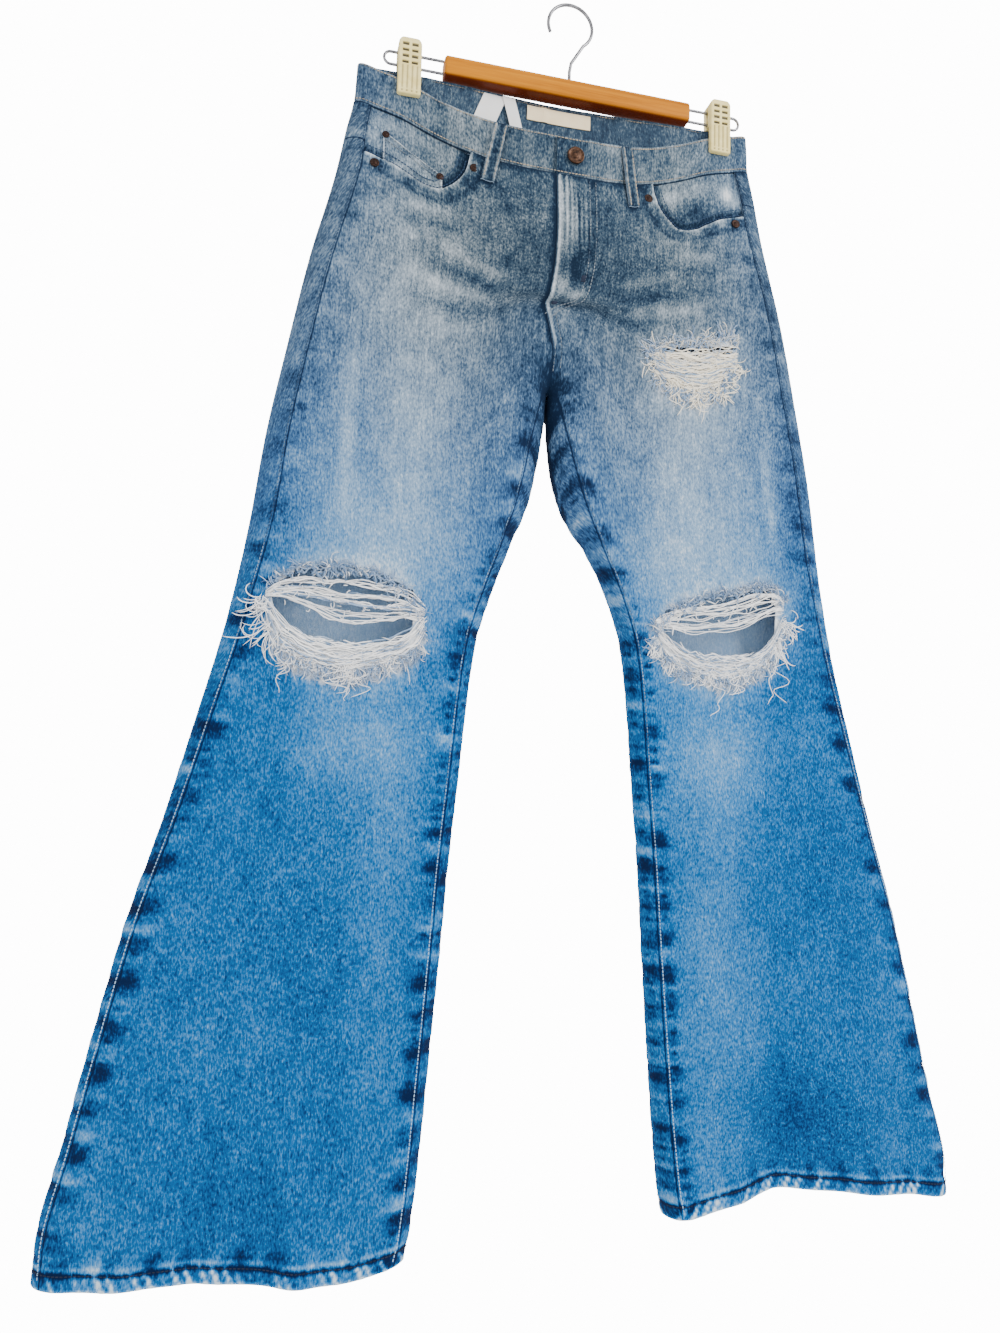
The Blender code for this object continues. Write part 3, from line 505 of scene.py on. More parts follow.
class Cloth:
    """One shell of cloth under construction: laid-out rows, their marks and what is cut from them."""

    def __init__(self, name, rows, side, finish, slot="denim"):
        self.name, self.side, self.finish, self.slot = name, side, finish, slot
        self.grid = np.array(rows, float)
        self.layer = np.where(self.grid[..., 1] < 0, FRONT, BACK)
        self.facing = normals(self.grid)
        self.x, self.z = self.grid[..., 0], self.grid[..., 2]
        steps = np.linalg.norm(np.diff(self.grid, axis=1), axis=-1)
        self.run = np.concatenate([np.zeros((len(self.grid), 1)), np.cumsum(steps, axis=1)], axis=1)
        self.tone = np.full(self.x.shape, .5)
        self.height = np.zeros(self.x.shape)
        self.white = np.zeros(self.x.shape)
        self.seam = np.ones(self.x.shape)
        self.pale_inside, self.inner_tone = .58, .80
        self.keep = np.ones((self.x.shape[0] - 1, self.x.shape[1] - 1), bool)

    def wear(self, hem=True):
        """Wear, painted shade, puckers and seam lines of a panel."""
        for face in (FRONT, BACK):
            tone, height = denim_marks(self.side, self.x, self.z, face, hem)
            here = self.layer == face
            self.tone[here], self.height[here] = tone[here], self.height[here] + height[here]
        # A metre more puts a place out of every seam's reach.
        on_front = np.where(self.layer == FRONT, 0.0, 1.0)
        legs = np.where(self.z < CROTCH + .01, 0.0, 1.0)
        to_outseam, to_inseam = np.abs(self.x - outseam(self.z)), np.abs(self.x - inseam(self.z)) + legs
        self.seam = np.minimum(to_outseam, to_inseam) + on_front
        return self

    def area(self, points):
        """Area of the kept cells of a layer of points."""
        a, b = points[1:, :-1] - points[:-1, :-1], points[:-1, 1:] - points[:-1, :-1]
        return float((np.linalg.norm(np.cross(a, b), axis=-1) * self.keep).sum())

    def cut(self, outline):
        """Takes out the cells inside a laid-out outline and draws the rim onto it."""
        loop = np.array(outline, float)
        ends = np.roll(loop, -1, axis=0)

        def inside(px, pz):
            hit = np.zeros(px.shape, bool)
            for (x0, z0), (x1, z1) in zip(loop, ends):
                crosses = (z0 > pz) != (z1 > pz)
                at = x0 + (pz - z0) * (x1 - x0) / (z1 - z0 if z1 != z0 else 1e-9)
                hit ^= crosses & (px < at)
            return hit

        on_front = self.layer[:-1, :-1] == FRONT
        middle = [(a[:-1, :-1] + a[1:, :-1] + a[:-1, 1:] + a[1:, 1:]) / 4 for a in (self.x, self.z)]
        gone = inside(*middle) & on_front
        self.keep &= ~gone
        touch = np.zeros(self.x.shape, int)
        kept = np.zeros(self.x.shape, int)
        for di in (0, 1):
            for dj in (0, 1):
                touch[di:touch.shape[0] - 1 + di, dj:touch.shape[1] - 1 + dj] += gone
                kept[di:kept.shape[0] - 1 + di, dj:kept.shape[1] - 1 + dj] += self.keep
        for i, j in zip(*np.nonzero((touch > 0) & (kept > 0))):
            here = np.array([self.x[i, j], self.z[i, j]])
            run = ends - loop
            t = np.clip(((here - loop) * run).sum(axis=1) / (run ** 2).sum(axis=1), 0, 1)
            spots = loop + run * t[:, None]
            best = spots[np.argmin(((spots - here) ** 2).sum(axis=1))]
            self.grid[i, j] = surface(best[0], best[1], FRONT)
        self.facing = normals(self.grid)
        self.x, self.z = self.grid[..., 0], self.grid[..., 2]
        return self

    def shell_faces(self, outer, inner):
        """Both faces of the kept cells, turned outwards, and the rim between them."""
        rows, columns = self.x.shape
        index = np.arange(rows * columns).reshape(rows, columns)
        corners = index[:-1, :-1], index[1:, :-1], index[1:, 1:], index[:-1, 1:]
        quads = np.stack(corners, axis=-1)[self.keep]
        sample = quads[len(quads) // 2]
        p = outer.reshape(-1, 3)[sample]
        out_way = (outer - inner).reshape(-1, 3)[sample[0]]
        if np.cross(p[1] - p[0], p[3] - p[0]) @ out_way < 0:
            quads = quads[:, ::-1]
        shift = rows * columns
        edges = np.concatenate([quads[:, [k, (k + 1) % 4]] for k in range(4)])
        keys = {(int(p), int(q)) for p, q in edges}
        rim = [(q, p, p + shift, q + shift) for p, q in sorted(keys) if (q, p) not in keys]
        return np.concatenate([quads, quads[:, ::-1] + shift, np.array(rim)])

    def grain(self):
        """Where each point of both faces lies in the weave, counted from the middle column."""
        middle = self.x.shape[1] // 2
        way = 1.0 if self.x[0, middle + 1] > self.x[0, middle] else -1.0
        across = self.run + (way * self.x[:, middle] - self.run[:, middle])[:, None]
        outer = np.stack([across, self.z, np.full(self.x.shape, .37 * self.side)], axis=-1).reshape(-1, 3)
        return np.concatenate([outer, outer + (0, 0, .11)])

    def build(self, out, inside, nodes, flat):
        """The mesh, between two heights above the laid-out face, hung and given to its nodes."""
        outer = hang(self.grid + self.facing * (out + self.height)[..., None], self.side, self.layer)
        inner = hang(self.grid + self.facing * (inside + self.height)[..., None], self.side, self.layer)
        points = np.concatenate([outer.reshape(-1, 3), inner.reshape(-1, 3)])
        made = new_mesh(self.name, points, self.shell_faces(outer, inner), self.finish)
        mesh, size = made.data, self.x.size
        give(mesh, "tone", np.concatenate([self.tone.reshape(-1), np.full(size, self.inner_tone)]))
        give(mesh, "seam", np.tile(self.seam.reshape(-1), 2))
        give(mesh, "white", np.tile(self.white.reshape(-1), 2))
        give(mesh, "grey", np.tile(grey_at(self.x, self.z).reshape(-1), 2))
        give(mesh, "pale_inside", np.full(size * 2, self.pale_inside))
        give(mesh, "wrong_side", np.repeat([0.0, 1.0], size))
        give(mesh, "cloth", self.grain(), "FLOAT_VECTOR", "vector")
        drop_loose(made)
        claim(made, nodes, self.slot)
        area = (self.area(outer) + self.area(inner)) / 2
        min(area, flat[0] * flat[1])


def grey_at(x, z):
    """The top of the garment is greyer, where the wash took more of the dye."""
    return np.clip(ease(-.60, -.16, z) * (1 - .25 * ease(.10, .22, x)), 0, 1)


def give(mesh, name, values, kind="FLOAT", field="value"):
    """A named attribute on the points, which a finish reads."""
    data = mesh.attributes.new(name, kind, "POINT").data
    data.foreach_set(field, np.asarray(values, float).reshape(-1))


def drop_loose(made):
    """Takes away the points that no face uses."""
    bm = bmesh.new()
    bm.from_mesh(made.data)
    bmesh.ops.delete(bm, geom=[v for v in bm.verts if not v.link_faces], context="VERTS")
    bm.to_mesh(made.data)
    bm.free()


def new_mesh(name, points, faces, finish):
    """A smooth mesh with sharp corners, in its finish."""
    mesh = bpy.data.meshes.new(name)
    mesh.from_pydata(np.asarray(points).tolist(), [], [tuple(int(i) for i in f) for f in faces])
    mesh.materials.append(finish)
    mesh.shade_smooth()
    mesh.set_sharp_from_angle(angle=math.radians(60))
    made = bpy.data.objects.new(name, mesh)
    bpy.context.collection.objects.link(made)
    return made


def claim(made, nodes, slot):
    """The piece moves with the part and stands for its nodes, whose parts it hides; the slot is not used."""
    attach(made, "root")
    if nodes:
        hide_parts(*nodes)
    return made


# Finishes
class Value:
    """A shader socket that takes part in Python arithmetic."""

    def __init__(self, tree, socket):
        self.tree, self.socket = tree, socket

    def maths(self, operation, *parts):
        node = add(self.tree, "ShaderNodeMath", {"operation": operation}, dict(enumerate(parts)))
        return Value(self.tree, node.outputs[0])

    def __add__(self, other):
        return self.maths("ADD", self, other)

    def __sub__(self, other):
        return self.maths("SUBTRACT", self, other)

    def __rsub__(self, other):
        return self.maths("SUBTRACT", other, self)

    def __mul__(self, other):
        return self.maths("MULTIPLY", self, other)

    def clamp(self):
        return self.maths("MINIMUM", self.maths("MAXIMUM", self, 0.0), 1.0)

    def sine(self):
        return self.maths("SINE", self)

    __radd__ = __add__
    __rmul__ = __mul__


def add(tree, kind, settings, values):
    """A node of this type, with its settings, and with values or links on its sockets."""
    node = tree.nodes.new(kind)
    for name, setting in settings.items():
        if name == "stops":
            ramp = node.color_ramp
            while len(ramp.elements) < len(setting):
                ramp.elements.new(1.0)
            for element, (place, colour) in zip(ramp.elements, setting):
                element.position = place
                element.color = (*colour, 1)
        else:
            setattr(node, name, setting)
    for name, value in values.items():
        if isinstance(value, Value):
            tree.links.new(value.socket, node.inputs[name])
        else:
            node.inputs[name].default_value = value
    return node


class Finish:
    """A material under construction, with the few kinds of node that the finishes share."""

    def __init__(self, name, roughness=0.9, metallic=0.0, **fixed):
        self.material = bpy.data.materials.new(name)
        self.material.use_nodes = True
        self.tree = self.material.node_tree
        self.shader = self.tree.nodes["Principled BSDF"]
        self.set(Roughness=roughness, Metallic=metallic)
        for socket, value in fixed.items():
            self.shader.inputs[socket.replace("_", " ")].default_value = value

    def set(self, **values):
        for name, value in values.items():
            socket = self.shader.inputs[name.replace("_", " ")]
            if isinstance(value, Value):
                self.tree.links.new(value.socket, socket)
            else:
                socket.default_value = value

    def given(self, name, output="Fac"):
        node = add(self.tree, "ShaderNodeAttribute", {"attribute_name": name}, {})
        return Value(self.tree, node.outputs[output])

    def place(self):
        node = add(self.tree, "ShaderNodeTexCoord", {}, {})
        return Value(self.tree, node.outputs["Object"])

    def parts(self, vector):
        node = add(self.tree, "ShaderNodeSeparateXYZ", {}, {0: vector})
        return [Value(self.tree, socket) for socket in node.outputs]

    def stretched(self, vector, rates):
        node = add(self.tree, "ShaderNodeVectorMath", {"operation": "MULTIPLY"}, {0: vector, 1: rates})
        return Value(self.tree, node.outputs[0])

    def noise(self, vector, rates, detail=2.0, roughness=0.5):
        place = self.stretched(vector, rates)
        values = {"Vector": place, "Scale": 1.0, "Detail": detail, "Roughness": roughness}
        node = add(self.tree, "ShaderNodeTexNoise", {}, values)
        return Value(self.tree, node.outputs[0])

    def ramp(self, value, *stops):
        node = add(self.tree, "ShaderNodeValToRGB", {"stops": stops}, {0: value})
        return Value(self.tree, node.outputs[0])

    def mix(self, share, first, second):
        ends = [v if isinstance(v, Value) else (*v, 1) for v in (first, second)]
        node = add(self.tree, "ShaderNodeMix", {"data_type": "RGBA"}, {0: share, 6: ends[0], 7: ends[1]})
        return Value(self.tree, node.outputs[2])

    def bump(self, height, distance, strength):
        values = {"Height": height, "Distance": distance, "Strength": strength}
        node = add(self.tree, "ShaderNodeBump", {}, values)
        return Value(self.tree, node.outputs[0])


TWILL_PITCH = 0.0009
SEAM_LINE = 0.0011
VIVID = ((0.0, (.001, .010, .050)), (.22, (.001, .032, .130)), (.42, (.003, .105, .330)),
         (.60, (.040, .215, .500)), (.80, (.200, .400, .650)), (1.0, (.620, .750, .880)))
WASHED = ((0.0, (.005, .016, .038)), (.22, (.024, .052, .090)), (.42, (.098, .137, .172)),
          (.60, (.228, .276, .314)), (.80, (.420, .485, .540)), (1.0, (.760, .790, .810)))
WRONG_SIDE = (.42, .59, .84)
BARE_WEFT = (.92, .94, .96)


def denim_finish():
    """Washed twill: white flecks where the warp is worn, slubs down its length, and a diagonal rib."""
    made = Finish("faded_denim", roughness=.95, Specular_IOR_Level=.12)
    cloth = made.given("cloth", "Vector")
    across, down, _ = made.parts(cloth)
    fleck = made.noise(cloth, (600, 330, 40), 3.0, .62)
    slub = made.noise(cloth, (1150, 250, 40), 2.0, .5)
    mottle = made.noise(cloth, (150, 95, 20), 2.0, .55)
    cloud = made.noise(cloth, (16, 9, 5), 2.0, .5)
    patch = made.noise(cloth, (62, 46, 12), 3.0, .6)
    streak = made.noise(cloth, (420, 26, 30), 2.0, .5)
    twill = ((across * .85 + down) * (2 * math.pi / TWILL_PITCH)).sine()
    seam = (1.0 - made.given("seam") * (1 / SEAM_LINE)).clamp()
    wear = made.given("tone")
    speckle = (fleck - .5) * .95 + (slub - .5) * .62 + (mottle - .5) * .28
    tone = wear + speckle * (1.25 - wear * .75) + (cloud - .5) * .24
    tone = tone + ((patch - .5) * .50 + (streak - .5) * .46) * (made.given("grey") * .8 + .2) - seam * .55
    tone = (tone + twill * .025).clamp()
    colour = made.mix(made.given("grey"), made.ramp(tone, *VIVID), made.ramp(tone, *WASHED))
    worn = made.mix((made.given("wrong_side") * made.given("pale_inside")).clamp(), colour, WRONG_SIDE)
    frayed = (made.given("white") + (fleck - .5) * 1.2 * made.given("white")).clamp()
    made.set(Base_Color=made.mix(frayed, worn, BARE_WEFT))
    relief = twill * .5 + slub * 1.4 + fleck * .8 - seam * 2.5
    made.set(Normal=made.bump(relief, .0004, .8))
    return made.material


DENIM = denim_finish()


def thread_finish(name, dark, pale, paler_below=0.0):
    """Twisted sewing thread with uneven fading, which may grow paler down the legs; its darker upper part is
    partly painted shade of the seam's groove.
    """
    made = Finish(name, roughness=.75, Specular_IOR_Level=.2)
    spot = made.place()
    level = made.parts(spot)[2]
    # Darker higher up: partly painted shade of the seam's groove.
    fade = made.noise(spot, (90, 90, 90), 2.0) - (level + .66) * paler_below
    ply = made.noise(spot, (1600, 1600, 1600), 1.0)
    made.set(Base_Color=made.ramp(fade, (.30, dark), (.70, pale)))
    made.set(Normal=made.bump(ply, .0002, .6))
    return made.material


STITCH_BLUE = thread_finish("faded_blue_thread", (.020, .045, .095), (.34, .50, .68), .95)
STITCH_PALE = thread_finish("pale_worn_thread", (.035, .060, .100), (.42, .46, .48), .20)
STITCH_CREAM = thread_finish("tan_thread", (.13, .15, .17), (.56, .44, .29))
STITCH_DARK = thread_finish("dark_bartack_thread", (.004, .008, .022), (.024, .032, .060))


def yarn_finish(name, bare):
    """Unspun cotton weft, from dyed pale blue to bare."""
    made = Finish(name, roughness=.95, Sheen_Weight=.3)
    spot = made.place()
    fleck = made.noise(spot, (700, 700, 700), 2.0)
    shade = (made.given("shade") + (fleck - .5) * .35).clamp()
    dull = tuple(.80 * c for c in bare)
    colour = made.ramp(shade, (0, (.05, .13, .27)), (.35, (.24, .36, .54)), (.62, dull), (1, bare))
    made.set(Base_Color=colour, Normal=made.bump(fleck, .0004, .7))
    return made.material


WHITE_YARN = yarn_finish("frayed_white_weft", (1.0, .99, .98))
CREAM_YARN = yarn_finish("frayed_cream_weft", (.98, .91, .76))


TAPE_RIB = .0006


def tape_finish():
    """Soft woven satin tape with a fine rib."""
    made = Finish("bare_label_tape", roughness=.55, Sheen_Weight=.2)
    cloth = made.given("cloth", "Vector")
    down = made.parts(cloth)[1]
    rib = (down * (2 * math.pi / TAPE_RIB)).sine()
    soft = made.noise(cloth, (120, 120, 40), 2.0)
    shade = (made.given("tone") + (soft - .5) * .2 + rib * .03).clamp()
    stops = (0, (.60, .44, .24)), (.3, (.95, .77, .48)), (.8, (.84, .84, .84)), (1, (.90, .90, .90))
    made.set(Base_Color=made.ramp(shade, *stops))
    made.set(Normal=made.bump(rib * .5 + soft * .5, .0002, .5))
    return made.material


def metal_finish(name, low, high, roughness, metallic, scale=260):
    """Metal with uneven tarnish and fine scratches."""
    made = Finish(name, roughness=roughness, metallic=metallic)
    spot = made.place()
    tarnish = made.noise(spot, (scale, scale, scale), 4.0, .6)
    scratch = made.noise(spot, (scale * 9, scale * 2, scale * 2), 2.0)
    made.set(Base_Color=made.ramp(tarnish, (.35, low), (.70, high)))
    made.set(Roughness=(roughness + (tarnish - .5) * .3 + (scratch - .5) * .15).clamp())
    made.set(Normal=made.bump(scratch * .5 + tarnish, .00015, .5))
    return made.material


def plastic_finish():
    """Aged ivory plastic, a little mottled, with painted shade down in its slots, grooves and dots."""
    made = Finish("ivory_plastic", roughness=.42, Specular_IOR_Level=.2)
    spot = made.place()
    mottle = made.noise(spot, (160, 160, 160), 3.0)
    pores = made.noise(spot, (1400, 1400, 1400), 2.0)
    pale = made.ramp(mottle, (.3, (.76, .61, .22)), (.7, (.90, .76, .34)))
    made.set(Base_Color=made.mix(made.given("hollow").clamp(), pale, (.07, .06, .04)))
    made.set(Roughness=(.38 + (mottle - .5) * .3).clamp(), Normal=made.bump(pores, .0001, .4))
    return made.material


def wood_finish():
    """Varnished honey wood: long grain, and painted shade on its underside."""
    made = Finish("honey_wood", roughness=.42, Specular_IOR_Level=.12)
    spot = made.place()
    grain = made.noise(spot, (9, 420, 420), 4.0, .6)
    band = made.noise(spot, (3, 90, 90), 2.0)
    pore = made.noise(spot, (60, 1500, 1500), 2.0)
    mixed = (grain * .6 + band * .4 + (pore - .5) * .25).clamp()
    honey = made.ramp(mixed, (.25, (.24, .062, .000)), (.5, (.45, .148, .000)), (.75, (.58, .215, .000)))
    # The underside mask carries painted shade.
    made.set(Base_Color=made.mix(made.given("under").clamp(), honey, (.105, .016, .003)))
    made.set(Roughness=(.26 + grain * .2).clamp(), Normal=made.bump(pore * .6 + grain, .0003, .4))
    return made.material


TAPE = tape_finish()
PLASTIC = plastic_finish()
WOOD = wood_finish()
STEEL = metal_finish("hanger_steel", (.14, .14, .15), (.34, .34, .36), .30, 1.0)
COPPER = metal_finish("aged_copper", (.012, .008, .008), (.060, .034, .026), .50, 1.0, 700)
BRASS = metal_finish("dark_brass", (.018, .008, .005), (.10, .050, .028), .42, .85, 500)


# The camera, as fitted to the photograph: its place before the garment hangs, yaw, pitch and roll in degrees.
CAMERA_PLACE = (-.253 + WAIST_OFFSET, -.842, -.634 - WAIST_DROP)
CAMERA_TURN = (13.9, 5.8, 1.5)
LENS, SENSOR = 27.0, 36.0


def photo_camera():
    """The photograph's viewing angle."""
    yaw, pitch, roll = (math.radians(a) for a in CAMERA_TURN)
    forward = Vector((math.sin(yaw) * math.cos(pitch), math.cos(yaw) * math.cos(pitch), math.sin(pitch)))
    right = Vector((math.cos(yaw), -math.sin(yaw), 0))
    up = right.cross(forward)
    level_right = math.cos(roll) * right + math.sin(roll) * up
    level_up = -math.sin(roll) * right + math.cos(roll) * up
    turn = Matrix((level_right, level_up, -forward)).transposed().to_4x4()
    data = bpy.data.cameras.new("photo_view")
    data.lens, data.sensor_width, data.sensor_fit = LENS, SENSOR, "AUTO"
    camera = bpy.data.objects.new("photo_view", data)
    camera.matrix_world = Matrix.Translation(Vector(CAMERA_PLACE)) @ turn
    bpy.context.collection.objects.link(camera)
    bpy.context.scene.camera = camera


SEEN_WHITE, SOFT_LIGHT = 14.0, 1.45   # the world as the camera sees it, and as it lights the denim
FLOOR_LEVEL, FLOOR_HALF, FLOOR_BACK = -2.1, 1.0, .3
# Lamps: name, place, what it aims at, size, power.
LAMPS = (
    ("key", (1.5, -1.7, .55), (.05, 0, -.55), 1.0, 56),
    ("fill", (-1.9, -1.6, -.2), (0, 0, -.6), 1.6, 14),
    ("back", (.6, 1.8, .9), (0, 0, -.5), 1.4, 16),
)


def pale_floor():
    """A plain floor below the hems, which isn't part of the object."""
    pale = Finish("pale_floor", roughness=.8)
    grain = pale.noise(pale.place(), (3, 3, 3), 2.0)
    pale.set(Base_Color=pale.ramp(grain, (0.3, (.80, .80, .80)), (.7, (.86, .86, .86))))
    corners = ((-1, -1), (1, -1), (1, 1), (-1, 1))
    points = [(x * FLOOR_HALF, y * FLOOR_HALF + FLOOR_BACK, FLOOR_LEVEL) for x, y in corners]
    floor = new_mesh("floor", points, [(0, 1, 2, 3)], pale.material)


def studio_light():
    """A white world, brighter to the camera than as light, and three soft lamps."""
    world = bpy.data.worlds.new("studio")
    world.use_nodes = True
    seen = add(world.node_tree, "ShaderNodeLightPath", {}, {})
    seen_directly = Value(world.node_tree, seen.outputs["Is Camera Ray"])
    strength = seen_directly * (SEEN_WHITE - SOFT_LIGHT) + SOFT_LIGHT
    background = world.node_tree.nodes["Background"]
    background.inputs[0].default_value = (1.0, 1.0, 1.0, 1)
    world.node_tree.links.new(strength.socket, background.inputs[1])
    bpy.context.scene.world = world
    for name, spot, aim, size, power in LAMPS:
        lamp = bpy.data.lights.new(name, "AREA")
        lamp.energy, lamp.size = power, size
        holder = bpy.data.objects.new(name, lamp)
        holder.location = spot
        holder.rotation_euler = (Vector(aim) - Vector(spot)).to_track_quat("-Z", "Y").to_euler()
        bpy.context.collection.objects.link(holder)


# Openings in the panels, and the marks round them
def levels(start, end, pitch):
    """Heights from start to end, about a pitch apart."""
    return np.linspace(start, end, max(3, int(round(abs(start - end) / pitch)) + 1))


def rip_outline(rip, top, foot, ends=(0, 1), count=26):
    """A closed laid-out outline from an upper and a lower edge."""
    places = np.linspace(*ends, count)
    start, end = rip["ends"]
    x = start + (end - start) * places
    return list(zip(x, top(places))) + list(zip(x[::-1], foot(places[::-1])))


PAST_OUTSEAM = .23


def mouth_outline():
    """The pocket mouth and all that lies above and outside it, which the front panel leaves out."""
    x = np.linspace(MOUTH_START, MOUTH_END, 40)
    corners = [(PAST_OUTSEAM, float(MOUTH(MOUTH_END))), (PAST_OUTSEAM, BAND_TOP), (MOUTH_START, BAND_TOP)]
    return list(zip(x, MOUTH(x))) + corners


def ragged_outline(rip):
    """The hole in the cloth: its edge wanders where single yarns have gone."""
    loop = np.array(rip_outline(rip, rip["hole_top"], rip["hole_foot"], rip["hole_ends"], 44))
    rough, fine = wave(rip["edge_seed"]), wave(rip["edge_seed"] + 1)
    steps = np.arange(len(loop)) / 11
    centre = loop.mean(axis=0)
    push = 1 + .05 * rough(steps) + .035 * fine(steps * 4.1)
    return centre + (loop - centre) * push[:, None]


def fray_edge(cloth, rip):
    """Cloth round a hole has lost its blue warp, down to the white weft, most of all below it."""
    start, end = rip["ends"]
    across = np.clip((cloth.x - start) / (end - start), 0, 1)
    top, foot = rip["top"](across), rip["foot"](across)
    streak = wave(3)(cloth.x * 130) * .0035 + wave(5)(cloth.x * 370) * .0030
    above, below = cloth.z - top + .003, foot - cloth.z - .001 + streak
    aside = np.maximum(start - cloth.x, cloth.x - end) + .005 + wave(8)(cloth.z * 200) * .003
    beyond = np.maximum(np.maximum(above, below), aside)
    cloth.white = np.maximum(cloth.white, .92 * (1 - ease(-.003, .003, beyond)))
    halo = np.exp(-(np.clip(beyond, 0, None) / .012) ** 2)
    cloth.tone = cloth.tone + .20 * halo
    cloth.height = cloth.height - .0004 * (beyond < 0)


def near_line(x, z, line):
    """Distance from laid-out places to a line of points, and how far along the line that is."""
    line = np.asarray(line, float)
    step = np.diff(line, axis=0)
    length = np.linalg.norm(step, axis=1)
    start = np.concatenate([[0], np.cumsum(length)[:-1]])
    best = np.full(np.shape(x), 9.0)
    along = np.zeros(np.shape(x))
    for (x0, z0), (dx, dz), size, base in zip(line, step, length, start):
        t = np.clip(((x - x0) * dx + (z - z0) * dz) / size ** 2, 0, 1)
        away = np.hypot(x - x0 - t * dx, z - z0 - t * dz)
        closer = away < best
        best, along = np.where(closer, away, best), np.where(closer, base + t * size, along)
    return best, along


def mouth_line():
    """The pocket mouth's edge, below the waistband."""
    x = np.linspace(MOUTH_START, MOUTH_END - .004, 40)
    return np.stack([x, np.minimum(MOUTH(x), BAND_SEAM)], axis=1)


def mouth_marks(cloth):
    """The turned edge of the pocket mouth: a ridge, rubbed pale and given a painted highlight, with puckers
    along its stitching and a painted shadow line below the fold's edge.
    """
    away, along = near_line(cloth.x, cloth.z, mouth_line())
    marks = seam_marks(31 + cloth.side, along, away - .005, .008)
    beside = np.exp(-((away - .0120) / .0022) ** 2)
    # Pale rim: wear and painted highlight; the dark line just below the folded edge is painted shadow.
    cloth.tone = cloth.tone + .55 * np.exp(-(away / .0017) ** 2) + .30 * marks - .22 * beside
    folded, rolled = ease(.0105, .0085, away), np.exp(-(away / .0018) ** 2)
    cloth.height = cloth.height + .0007 * folded + .0008 * rolled + .0006 * marks


def moved(line, lower):
    """A line of (x, z) places moved to its right by this much."""
    line = np.asarray(line, float)
    slope = np.gradient(line, axis=0)
    slope /= np.linalg.norm(slope, axis=1, keepdims=True)
    return line + np.stack([slope[:, 1], -slope[:, 0]], axis=1) * lower


# The fly's curved double row, laid out, from the waistband to the middle seam.
FLY_CURVE = ((.0240, -.052), (.0240, -.100), (.0238, -.150), (.0225, -.190), (.0185, -.215),
             (.0120, -.236), (.0020, -.252), (-.0060, -.262))


def smooth_line(points):
    """A rounded line through a few laid-out places."""
    points = np.asarray(points, float)
    run = np.concatenate([[0], np.cumsum(np.linalg.norm(np.diff(points, axis=0), axis=1))])
    at = np.linspace(0, run[-1], 60)
    return np.stack([Curve(*zip(run, points[:, 0]))(at), Curve(*zip(run, points[:, 1]))(at)], axis=-1)


# Belt loops: node, side, layer, place across, how far the foot leans outwards.
LOOPS = (
    ("belt_loop_front_right", RIGHT, FRONT, .062, .011),
    ("belt_loop_front_left", LEFT, FRONT, .057, .008),
    ("belt_loop_back_right", RIGHT, BACK, .108, 0),
    ("belt_loop_back_middle", LEFT, BACK, 0, 0),
    ("belt_loop_back_left", LEFT, BACK, .108, 0),
)
LOOP_HALF, LOOP_LENGTH, LOOP_THICK = .0058, .061, .0016
LOOP_TOP = BAND_TOP - .002
LOOP_RAIL = .0042   # from a loop's middle to each of its stitched rails


FLY_WORN = (
    (LEFT, FRONT, -.006, -.092, .0035, .040, .40),
    (LEFT, FRONT, .003, -.100, .0030, .036, .34),
    (LEFT, FRONT, .010, -.160, .013, .026, -.34),
    (LEFT, FRONT, -.004, -.194, .006, .011, .40),
    (LEFT, FRONT, .010, -.204, .007, .009, .36),
)


ZIP_RIDGES = ((-.0015, .0010), (.0125, .0008))   # place across, height


def fly_marks(cloth):
    """The fly: its edge stands proud over the right front, worn pale and given a painted highlight, with
    painted shadow beside it on the right front, and the zip's ridges show through.
    """
    away = cloth.side * cloth.x - fly_line(cloth.z)
    upper = ease(-.290, -.275, cloth.z)
    cloth.seam = np.minimum(cloth.seam, np.abs(away) + (cloth.z < CROTCH))
    if cloth.side == RIGHT:
        # Painted shadow that the fly's proud edge casts on the right front.
        cloth.tone = cloth.tone - .70 * np.exp(-(away / .0032) ** 2) * upper
        return
    # A pale rim along the fly's edge: rubbed pale, and a painted highlight.
    edge = np.exp(-((away - .0016) / .0013) ** 2) * upper
    cloth.tone = cloth.tone + .70 * edge + patch_shade(FLY_WORN, LEFT, FRONT, cloth.x, cloth.z)
    cloth.height = cloth.height + .0010 * ease(.004, .001, away) * upper
    for x, high in ZIP_RIDGES:
        bulge = np.exp(-((cloth.x - x) / .0032) ** 2) * ease(-.215, -.185, cloth.z)
        cloth.height = cloth.height + high * bulge
        cloth.tone = cloth.tone + .12 * bulge
    striped = ease(-.155, -.125, cloth.z) * ease(-.013, -.008, cloth.x) * ease(.024, .016, cloth.x)
    cloth.tone = cloth.tone + .20 * striped * np.sin(cloth.x * 2 * math.pi / .0046 + .8)
    line, along = near_line(cloth.x, cloth.z, moved(smooth_line(FLY_CURVE), .0031))
    marks = seam_marks(77, along, line, .007)
    cloth.tone = cloth.tone + .22 * marks
    cloth.height = cloth.height + .0005 * marks


def loop_foot_shadow(cloth):
    """Painted shadow on the cloth under and just below a belt loop's foot."""
    foot = LOOP_TOP - LOOP_LENGTH
    for _, side, layer, x, lean in LOOPS:
        if cloth.side == side:
            here = np.exp(-((cloth.x - x - lean) / .0085) ** 2 - ((cloth.z - foot) / .0045) ** 2)
            cloth.tone = cloth.tone - .42 * here * (cloth.layer == layer)


def rows_seam(cloth, *rows):
    """These rows of the cloth lie in a seam."""
    for row in rows:
        cloth.seam = np.minimum(cloth.seam, np.abs(cloth.z - cloth.z[row]))
    return cloth


